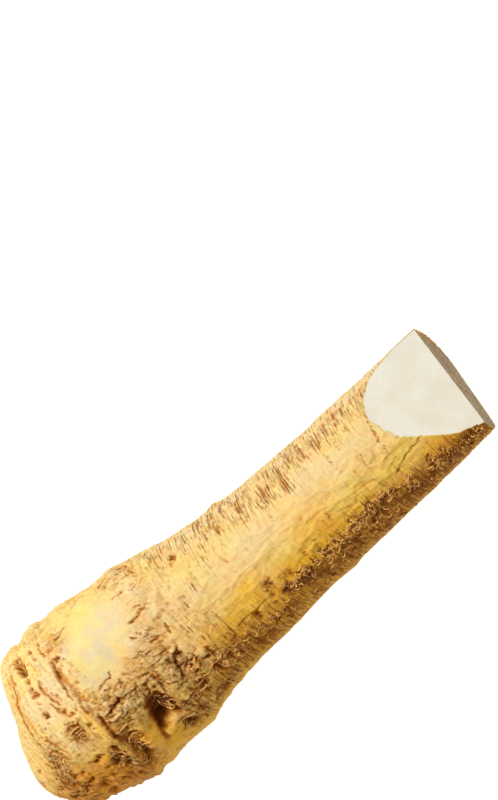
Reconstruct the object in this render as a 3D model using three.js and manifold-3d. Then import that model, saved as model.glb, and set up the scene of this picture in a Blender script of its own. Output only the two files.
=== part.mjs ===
// A horseradish root lying on its side: the ringed crown at -X, the straight shaft towards +X, where
// one knife cut squares off the end and a second, slanting one takes away its upper corner.
// Grown as one piece, so it is one solid. Millimetres and degrees, +Z up. The origin is the middle of
// the root's bounding box in plan, at the height of the surface it lies on.
import * as THREE from "three";
import { ParametricGeometry } from "three/addons/geometries/ParametricGeometry.js";
import { mergeVertices } from "three/addons/utils/BufferGeometryUtils.js";
import Module from "manifold-3d";

// ---- Driving dimensions ----

// Places on the root are given by x, the distance from the crown's tip, and by an angle round the
// axis: 0 is +Y, 90 the top, 180 -Y and 270 the belly.
const rootLength = 208.6;
const columnCount = 54; // facets round the root
const tipLength = 12; // the domed tip, where rows lie closer and closer towards the pole
const crownLength = 92; // crown and neck, with the fine rows
const overrun = 6; // how far the skin runs past the end cut before it is cut off
const tipRows = 7;
const crownRow = 1.6; // row spacing over the crown
const shaftRow = 5; // and along the shaft

// Sections across the root: x, the axis's sideways place and height, half the width, half the height.
const sections = [
  { x: 0, y: -5.5, z: 34, halfWidth: 0, halfHeight: 0 },
  { x: 1, y: -5.5, z: 34, halfWidth: 4, halfHeight: 4.5 },
  { x: 3, y: -5.2, z: 34.2, halfWidth: 8.3, halfHeight: 9.9 },
  { x: 7, y: -3.8, z: 34.8, halfWidth: 15.8, halfHeight: 16.8 },
  { x: 11, y: -2.6, z: 35, halfWidth: 20.5, halfHeight: 21.8 },
  { x: 14.5, y: 0.1, z: 35, halfWidth: 25, halfHeight: 25.9 },
  { x: 17.5, y: 3.1, z: 34.8, halfWidth: 28.6, halfHeight: 29 },
  { x: 21, y: 4.6, z: 34.6, halfWidth: 31, halfHeight: 31.2 },
  { x: 25, y: 4.7, z: 34.3, halfWidth: 32.4, halfHeight: 32.8 },
  { x: 31, y: 3.8, z: 34, halfWidth: 33.7, halfHeight: 34.2 },
  { x: 38, y: 3.5, z: 33.8, halfWidth: 34.3, halfHeight: 34.5 },
  { x: 51, y: 3, z: 33.6, halfWidth: 33.4, halfHeight: 34.2 },
  { x: 65, y: 2.4, z: 33, halfWidth: 31.6, halfHeight: 32.6 },
  { x: 80, y: 2.5, z: 31.7, halfWidth: 29, halfHeight: 29.8 },
  { x: 101, y: 0.4, z: 29.7, halfWidth: 26.4, halfHeight: 26.4 },
  { x: 123, y: -0.3, z: 27.6, halfWidth: 24.4, halfHeight: 24.4 },
  { x: 151, y: -0.8, z: 25.2, halfWidth: 23.5, halfHeight: 23.6 },
  { x: 181, y: -0.8, z: 22.9, halfWidth: 23.1, halfHeight: 23.2 },
  { x: 218, y: 0, z: 20.3, halfWidth: 22.8, halfHeight: 22.8 },
];

// Ridges that ring the crown where its leaves stood: crest height, half-width, and how far the crest
// bows towards the tip on top of the root.
const rings = [
  { x: 37, height: 0.5, halfWidth: 2.2, bow: 0 },
  { x: 27, height: 0.4, halfWidth: 1.8, bow: 0 },
  { x: 20.5, height: 0.6, halfWidth: 1.8, bow: 3 },
];
const ringGroove = { x: 40.2, depth: 0.5, halfWidth: 1.3 }; // the hollow behind the tallest ring

// Swellings and hollows: height above or below the skin, half-length along the root, half-angle round it.
const lumps = [
  { x: 38, angle: 5, height: 0.9, halfLength: 3.5, halfAngle: 16 },
  { x: 50, angle: 14, height: 0.9, halfLength: 3, halfAngle: 14 },
  { x: 73, angle: 12, height: 1.5, halfLength: 5, halfAngle: 18 },
  { x: 115, angle: 4, height: 0.9, halfLength: 3, halfAngle: 12 },
  { x: 137, angle: 180, height: 0.6, halfLength: 4, halfAngle: 16 },
  { x: 62, angle: 178, height: 1, halfLength: 5, halfAngle: 20 },
  { x: 47, angle: 108, height: 1.4, halfLength: 5, halfAngle: 14 },
  { x: 66, angle: 60, height: 0.9, halfLength: 11, halfAngle: 24 },
  { x: 200, angle: 134, height: 1.9, halfLength: 30, halfAngle: 26 },
  { x: 200, angle: 45, height: 0.6, halfLength: 30, halfAngle: 20 },
  { x: 34, angle: 232, height: 2.2, halfLength: 9, halfAngle: 22 },
  { x: 58, angle: 310, height: 1.8, halfLength: 10, halfAngle: 20 },
  { x: 84, angle: 250, height: 1.4, halfLength: 9, halfAngle: 24 },
  { x: 120, angle: 300, height: 0.9, halfLength: 14, halfAngle: 26 },
];

// Scars left by side roots: deep enough to be part of the shape.
const scars = [
  { x: 55.6, angle: 130, depth: 5.2, halfLength: 5, halfAngle: 11 }, // the large hollow
  { x: 42.5, angle: 122, depth: 1.6, halfLength: 2.6, halfAngle: 6 },
  { x: 42, angle: 142, depth: 1.8, halfLength: 2.4, halfAngle: 7 },
  { x: 34.5, angle: 131, depth: 1.5, halfLength: 2.4, halfAngle: 7 },
  { x: 31, angle: 96, depth: 1, halfLength: 2.6, halfAngle: 5 },
  { x: 29, angle: 36, depth: 0.9, halfLength: 1.8, halfAngle: 8 },
  { x: 16, angle: 103, depth: 1.2, halfLength: 2.5, halfAngle: 6 },
  { x: 61, angle: 152, depth: 1.4, halfLength: 2.6, halfAngle: 6 },
  { x: 75, angle: 111, depth: 1.3, halfLength: 3.4, halfAngle: 8 },
  { x: 46, angle: 212, depth: 2.2, halfLength: 4, halfAngle: 8 },
  { x: 30, angle: 292, depth: 1.8, halfLength: 3.4, halfAngle: 7 },
  { x: 70, angle: 338, depth: 2, halfLength: 4, halfAngle: 8 },
  { x: 96, angle: 262, depth: 1.2, halfLength: 3.2, halfAngle: 8 },
];

// The shaft's flat side, facing down and to -Y, which deepens towards the end cut.
const flatSide = { angle: 231, from: 150, to: 206, distanceFrom: 25, distanceTo: 13.6, rounding: 1.6 };

// The end cut is turned this many degrees from square, so that the root is shorter on its -Y side.
const endTurn = 1.7;

// The slanting cut meets the end cut along a chord. height is the chord's height over the axis,
// tilt its slope down towards +Y, and slant the angle between the cut and the root's axis.
const slantCut = { height: 6.5, tilt: 25.3, slant: 36 };

// ---- Helpers ----

const degrees = Math.PI / 180;
const bell = (distance, halfWidth) => Math.exp(-((distance / halfWidth) ** 2));
const angleBetween = (a, b) => ((((a - b) % 360) + 540) % 360) - 180;

// A smooth curve through the sections for one of their values: cubic, with slopes from the
// neighbouring sections.
function sectionCurve(key) {
  const slopes = sections.map((section, i) => {
    const before = sections[Math.max(i - 1, 0)];
    const after = sections[Math.min(i + 1, sections.length - 1)];
    const rise = (a, b) => (b[key] - a[key]) / (b.x - a.x);
    if (before === section) return rise(section, after);
    if (after === section) return rise(before, section);
    const left = section.x - before.x;
    const right = after.x - section.x;
    return (rise(before, section) * right + rise(section, after) * left) / (left + right);
  });
  return (x) => {
    const next = sections.findIndex((section) => section.x > x);
    const i = next < 0 ? sections.length - 2 : Math.max(next - 1, 0);
    const [a, b] = [sections[i], sections[i + 1]];
    const span = b.x - a.x;
    const t = (x - a.x) / span;
    const fromA = (1 + 2 * t) * (1 - t) ** 2 * a[key] + t * (1 - t) ** 2 * span * slopes[i];
    const fromB = t * t * (3 - 2 * t) * b[key] + t * t * (t - 1) * span * slopes[i + 1];
    return fromA + fromB;
  };
}

const axisY = sectionCurve("y");
const axisZ = sectionCurve("z");
const halfWidthAt = sectionCurve("halfWidth");
const halfHeightAt = sectionCurve("halfHeight");

// ---- The skin ----

// How far the skin stands proud of the plain section, along the outward direction.
function reliefAt(x, angle) {
  const top = Math.max(Math.sin(angle * degrees), 0);
  let height = 0;
  for (const ring of rings) {
    height += ring.height * bell(x - ring.x + ring.bow * top, ring.halfWidth);
  }
  height -= ringGroove.depth * bell(x - ringGroove.x, ringGroove.halfWidth);
  for (const lump of lumps) {
    const around = bell(angleBetween(angle, lump.angle), lump.halfAngle);
    height += lump.height * around * bell(x - lump.x, lump.halfLength);
  }
  for (const scar of scars) {
    const around = bell(angleBetween(angle, scar.angle), scar.halfAngle);
    height -= scar.depth * around * bell(x - scar.x, scar.halfLength);
  }
  return height;
}

// The section's radius is held in by the flat side: the smaller of the two, rounded where they meet.
function flattened(radius, x, angle) {
  const turned = Math.cos(angleBetween(angle, flatSide.angle) * degrees);
  if (x < flatSide.from || turned < 0.2) return radius;
  const along = THREE.MathUtils.smoothstep(x, flatSide.from, flatSide.to);
  const flat = THREE.MathUtils.lerp(flatSide.distanceFrom, flatSide.distanceTo, along) / turned;
  const gap = (radius - flat) / flatSide.rounding;
  return radius - flatSide.rounding * Math.log1p(Math.exp(gap));
}

// A point of the skin: an ellipse round the axis, pushed out or in by the relief.
function skinPoint(x, angle, target) {
  const [cos, sin] = [Math.cos(angle * degrees), Math.sin(angle * degrees)];
  const plain = Math.hypot(halfWidthAt(x) * cos, halfHeightAt(x) * sin);
  const fade = Math.min(plain / 8, 1); // the tip's pole stays one point
  const radius = flattened(plain + fade * reliefAt(x, angle), x, angle);
  return target.set(x, axisY(x) + radius * cos, axisZ(x) + radius * sin);
}

// Rows of the mesh: closer towards the pole, fine over the crown, coarse along the shaft.
function rowPlaces() {
  const places = [];
  for (let i = 0; i < tipRows; i++) places.push(tipLength * (i / tipRows) ** 2);
  for (let x = tipLength; x < crownLength; x += crownRow) places.push(x);
  for (let x = crownLength; x < rootLength; x += shaftRow) places.push(x);
  places.push(rootLength, rootLength + overrun);
  return places;
}

// The closed, uncut root: the skin's grid, with its seam and tip merged, and a fan over the far end.
function skinGeometry() {
  const places = rowPlaces();
  const rows = places.length - 1;
  const grid = new ParametricGeometry(
    (round, along, target) => skinPoint(places[Math.round(along * rows)], round * 360, target),
    columnCount,
    rows,
  );
  grid.deleteAttribute("normal");
  grid.deleteAttribute("uv");
  const points = Array.from(grid.getAttribute("position").array);
  const faces = Array.from(grid.index.array);
  const farRow = rows * (columnCount + 1);
  const farMiddle = points.length / 3;
  points.push(places[rows], axisY(places[rows]), axisZ(places[rows]));
  for (let i = 0; i < columnCount; i++) faces.push(farMiddle, farRow + i, farRow + i + 1);
  const closed = new THREE.BufferGeometry();
  closed.setAttribute("position", new THREE.Float32BufferAttribute(points, 3));
  closed.setIndex(faces);
  return mergeVertices(closed, 1e-3);
}

// ---- Cuts ----

const wasm = await Module();
wasm.setup();

function toSolid(geometry) {
  const index = geometry.index.array;
  const kept = [];
  for (let i = 0; i < index.length; i += 3) {
    const [a, b, c] = index.slice(i, i + 3);
    if (a !== b && b !== c && c !== a) kept.push(a, b, c);
  }
  const vertProperties = geometry.getAttribute("position").array;
  const mesh = new wasm.Mesh({ numProp: 3, vertProperties, triVerts: new Uint32Array(kept) });
  return new wasm.Manifold(mesh);
}

function toGeometry(solid) {
  const mesh = solid.getMesh();
  const geometry = new THREE.BufferGeometry();
  geometry.setAttribute("position", new THREE.BufferAttribute(mesh.vertProperties, 3));
  geometry.setIndex(new THREE.BufferAttribute(mesh.triVerts, 1));
  return geometry;
}

// Everything on the outer side of a plane, as a block to subtract.
function halfSpace(point, normal) {
  const size = 4 * rootLength;
  const block = new THREE.BoxGeometry(size, size, size);
  block.translate(0, 0, size / 2);
  const turn = new THREE.Quaternion().setFromUnitVectors(new THREE.Vector3(0, 0, 1), normal);
  block.applyQuaternion(turn);
  block.translate(point.x, point.y, point.z);
  block.deleteAttribute("normal");
  block.deleteAttribute("uv");
  return toSolid(mergeVertices(block, 1e-3));
}

function cutRoot(whole) {
  const endMiddle = new THREE.Vector3(rootLength, axisY(rootLength), axisZ(rootLength));
  const endNormal = new THREE.Vector3(Math.cos(endTurn * degrees), -Math.sin(endTurn * degrees), 0);
  const endCut = halfSpace(endMiddle, endNormal);
  const chordMiddle = endMiddle.clone().add(new THREE.Vector3(0, 0, slantCut.height));
  const slantNormal = new THREE.Vector3(
    Math.tan(slantCut.slant * degrees),
    Math.tan(slantCut.tilt * degrees),
    1,
  ).normalize();
  const slantedCut = halfSpace(chordMiddle, slantNormal);
  // Where the skin bears on the surface its lowest spots are flat.
  const surface = halfSpace(new THREE.Vector3(0, 0, 0), new THREE.Vector3(0, 0, -1));
  return whole.subtract(endCut).subtract(slantedCut).subtract(surface);
}

// ---- The part ----

const geometry = toGeometry(cutRoot(toSolid(skinGeometry())));
geometry.computeBoundingBox();
const middle = geometry.boundingBox.getCenter(new THREE.Vector3());
geometry.translate(-middle.x, -middle.y, 0);

const root = new THREE.Mesh(
  geometry,
  new THREE.MeshStandardMaterial({ color: 0xdfc389, roughness: 0.72, metalness: 0 }),
);
root.name = "horseradish_root";

const part = new THREE.Group();
part.add(root);
export default part;
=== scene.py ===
import math
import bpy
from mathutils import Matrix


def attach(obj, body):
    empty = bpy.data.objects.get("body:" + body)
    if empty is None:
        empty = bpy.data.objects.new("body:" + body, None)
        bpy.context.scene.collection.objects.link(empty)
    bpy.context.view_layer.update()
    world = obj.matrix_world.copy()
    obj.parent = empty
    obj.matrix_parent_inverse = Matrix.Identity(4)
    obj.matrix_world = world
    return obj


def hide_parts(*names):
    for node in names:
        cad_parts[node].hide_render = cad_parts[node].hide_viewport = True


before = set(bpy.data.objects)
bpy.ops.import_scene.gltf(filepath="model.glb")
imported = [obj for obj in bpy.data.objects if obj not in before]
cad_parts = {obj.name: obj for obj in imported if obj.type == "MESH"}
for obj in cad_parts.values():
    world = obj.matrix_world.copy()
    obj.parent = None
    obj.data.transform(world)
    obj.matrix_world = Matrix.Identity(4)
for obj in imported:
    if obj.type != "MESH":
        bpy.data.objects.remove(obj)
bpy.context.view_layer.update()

from types import SimpleNamespace

import bmesh
import bpy
import numpy as np
from mathutils import Matrix, Vector

node = "horseradish_root"

# Everything on the root is placed in millimetres: x along it from the crown's tip, and an angle
# round its axis in degrees, 0 at +Y, 90 on top, 180 at -Y and 270 underneath.

rootShape = {
    "length": 208.6,
    # x, axis y, axis z, half width, half height
    "sections": np.array([
        (0, -5.5, 34, 0, 0), (1, -5.5, 34, 4, 4.5), (3, -5.2, 34.2, 8.3, 9.9),
        (7, -3.8, 34.8, 15.8, 16.8), (11, -2.6, 35, 20.5, 21.8), (14.5, 0.1, 35, 25, 25.9),
        (17.5, 3.1, 34.8, 28.6, 29), (21, 4.6, 34.6, 31, 31.2), (25, 4.7, 34.3, 32.4, 32.8),
        (31, 3.8, 34, 33.7, 34.2), (38, 3.5, 33.8, 34.3, 34.5), (51, 3, 33.6, 33.4, 34.2),
        (65, 2.4, 33, 31.6, 32.6), (80, 2.5, 31.7, 29, 29.8), (101, 0.4, 29.7, 26.4, 26.4),
        (123, -0.3, 27.6, 24.4, 24.4), (151, -0.8, 25.2, 23.5, 23.6),
        (181, -0.8, 22.9, 23.1, 23.2), (218, 0, 20.3, 22.8, 22.8),
    ], float),
    # x, height, half width, how far the crest bows towards the tip on top
    "rings": [(37, 0.5, 2.2, 0), (27, 0.4, 1.8, 0), (20.5, 0.6, 1.8, 3)],
    "ringGroove": (40.2, 0.5, 1.3),                 # x, depth, half width
    # x, angle, height, half length, half angle
    "lumps": [
        (38, 5, 0.9, 3.5, 16), (50, 14, 0.9, 3, 14), (73, 12, 1.5, 5, 18), (115, 4, 0.9, 3, 12),
        (137, 180, 0.6, 4, 16), (62, 178, 1, 5, 20), (47, 108, 1.4, 5, 14), (66, 60, 0.9, 11, 24),
        (200, 134, 1.9, 30, 26), (200, 45, 0.6, 30, 20), (34, 232, 2.2, 9, 22),
        (58, 310, 1.8, 10, 20), (84, 250, 1.4, 9, 24), (120, 300, 0.9, 14, 26),
    ],
    # x, angle, depth, half length, half angle
    "scars": [
        (55.6, 130, 5.2, 5, 11), (42.5, 122, 1.6, 2.6, 6), (42, 142, 1.8, 2.4, 7),
        (34.5, 131, 1.5, 2.4, 7), (31, 96, 1, 2.6, 5), (29, 36, 0.9, 1.8, 8),
        (16, 103, 1.2, 2.5, 6), (61, 152, 1.4, 2.6, 6), (75, 111, 1.3, 3.4, 8),
        (46, 212, 2.2, 4, 8), (30, 292, 1.8, 3.4, 7), (70, 338, 2, 4, 8), (96, 262, 1.2, 3.2, 8),
    ],
    # the shaft's flat side: angle, where it starts and ends, distances from the axis, rounding
    "flatSide": (231, 150, 206, 25, 13.6, 1.6),
    "endTurn": 1.7,                                 # degrees from square
    "slantHeight": 6.5, "slantTilt": 25.3, "slant": 36,
}

skinMesh = {
    "columns": 300, "crowding": 0.42,               # columns lie closer on top than underneath
    "rows": 320, "crownRows": 0.54, "crownEnd": 90, # share of the rows that the crown takes
    "tipCrowding": 0.35,
    "cutsBetween": (150.0, 217.0), "halvings": 26,  # the stretch that holds both cuts
    "cornersBetween": ((-25.0, 60.0), (110.0, 185.0)),
    "rimWidth": 0.4,                                # mm of cut bark round the cut faces
    "lip": (0.9, 318, 24),                          # bark standing past the end cut: mm, angle, half angle
    "tuck": (0.12, 3),                              # behind the rim: share of the way in, and mm back
    "closedAt": 172.0,                              # x of the point that closes the skin inside
    "sharpFrom": 62,                                # degrees between faces
}


def smoothStep(low, high, value):
    # 3 t^2 - 2 t^3, where t goes from 0 at low to 1 at high
    t = np.clip((value - low) / (high - low), 0, 1)
    return t * t * (3 - 2 * t)


def turned(angle, centre):
    # degrees from the centre to the angle, the shorter way round
    return (angle - centre + 180) % 360 - 180


def pastTop(angle, low, high):
    # 0 up to low, 1 from high on, and back to 0 before the angles start again
    return smoothStep(low, high, angle) * (1 - smoothStep(290, 345, angle))


def bell(distance, halfWidth):
    # exp(-(distance / half width)^2)
    return np.exp(-((distance / halfWidth) ** 2))


def unit(v):
    # each vector over its length
    return v / np.linalg.norm(v, axis=-1, keepdims=True)


# Gradient noise: each corner of a unit lattice gets a direction, picked by shuffling its place with a
# seeded table; the value is the blend of (direction . step from corner) over the eight corners.
shuffled = np.random.default_rng(11).permutation(256)
shuffled = np.concatenate([shuffled, shuffled, shuffled])
directions = np.random.default_rng(12).normal(size=(768, 3))
directions = (directions / np.linalg.norm(directions, axis=1, keepdims=True) * 1.7).T.copy()


def noise(points, seed):
    # the blend's weights are 6 t^5 - 15 t^4 + 10 t^3 in each direction
    base = np.floor(points).astype(np.int64)
    local = points - base
    fade = local * local * local * (local * (local * 6 - 15) + 10)
    i, j, k = np.moveaxis((base + np.array((17, 59, 113)) * seed) & 255, -1, 0)
    total = 0
    for cornerX in (0, 1):
        alongX = fade[..., 0] if cornerX else 1 - fade[..., 0]
        first = shuffled[i + cornerX] + j
        for cornerY in (0, 1):
            alongXY = alongX * (fade[..., 1] if cornerY else 1 - fade[..., 1])
            second = shuffled[first + cornerY] + k
            for cornerZ in (0, 1):
                pick = shuffled[second + cornerZ]
                reach = (directions[0][pick] * (local[..., 0] - cornerX)
                         + directions[1][pick] * (local[..., 1] - cornerY)
                         + directions[2][pick] * (local[..., 2] - cornerZ))
                total = total + reach * alongXY * (fade[..., 2] if cornerZ else 1 - fade[..., 2])
    return total


def layeredNoise(points, seed, layers=3):
    # the sum of noise over layers, each 2.03 times finer and half as high as the one before
    total, size = 0, 1.0
    for layer in range(layers):
        total = total + size * noise(points * 2.03 ** layer, seed + layer)
        size *= 0.5
    return total


def ridges(points, seed, layers=2):
    # 1 - 2 |noise|: crests along the lines where the noise is 0
    return 1 - 2 * np.abs(layeredNoise(points, seed, layers))


def sectionAt(x):
    # cubic through the table's rows, with slopes weighted from the neighbouring spans
    table = rootShape["sections"]
    spans = np.diff(table[:, 0])
    rises = np.diff(table[:, 1:], axis=0) / spans[:, None]
    inner = (rises[:-1] * spans[1:, None] + rises[1:] * spans[:-1, None])
    slopes = np.vstack([rises[:1], inner / (spans[:-1] + spans[1:])[:, None], rises[-1:]])
    i = np.clip(np.searchsorted(table[:, 0], x, side="right") - 1, 0, len(table) - 2)
    span = spans[i]
    t = ((x - table[i, 0]) / span)[..., None]
    fromLow = (1 + 2 * t) * (1 - t) ** 2 * table[i, 1:] + t * (1 - t) ** 2 * span[..., None] * slopes[i]
    fromHigh = t * t * (3 - 2 * t) * table[i + 1, 1:] + t * t * (t - 1) * span[..., None] * slopes[i + 1]
    return np.moveaxis(fromLow + fromHigh, -1, 0)


def mainForms(x, angle):
    # sum of bells along the root and round it, as in the solid
    top = np.maximum(np.sin(np.radians(angle)), 0)
    height = np.zeros(np.broadcast(x, angle).shape)
    for place, rise, halfWidth, bow in rootShape["rings"]:
        height += rise * bell(x - place + bow * top, halfWidth)
    place, depth, halfWidth = rootShape["ringGroove"]
    height -= depth * bell(x - place, halfWidth)
    for place, side, rise, halfLength, halfAngle in rootShape["lumps"]:
        height += rise * bell(turned(angle, side), halfAngle) * bell(x - place, halfLength)
    for place, side, depth, halfLength, halfAngle in rootShape["scars"]:
        height -= depth * bell(turned(angle, side), halfAngle) * bell(x - place, halfLength)
    return height


def flattened(radius, x, angle):
    # the smaller of the radius and the way out to the flat side, eased into one another:
    # radius - r log(1 + exp((radius - flat) / r))
    side, start, end, distanceStart, distanceEnd, rounding = rootShape["flatSide"]
    facing = np.cos(np.radians(angle - side))
    distance = distanceStart + (distanceEnd - distanceStart) * smoothStep(start, end, x)
    flat = distance / np.maximum(facing, 0.2)
    held = radius - rounding * np.log1p(np.exp((radius - flat) / rounding))
    return np.where((x < start) | (facing < 0.2), radius, held)


# Where things are on the bark. Angles in degrees; every other number in millimetres.

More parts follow.
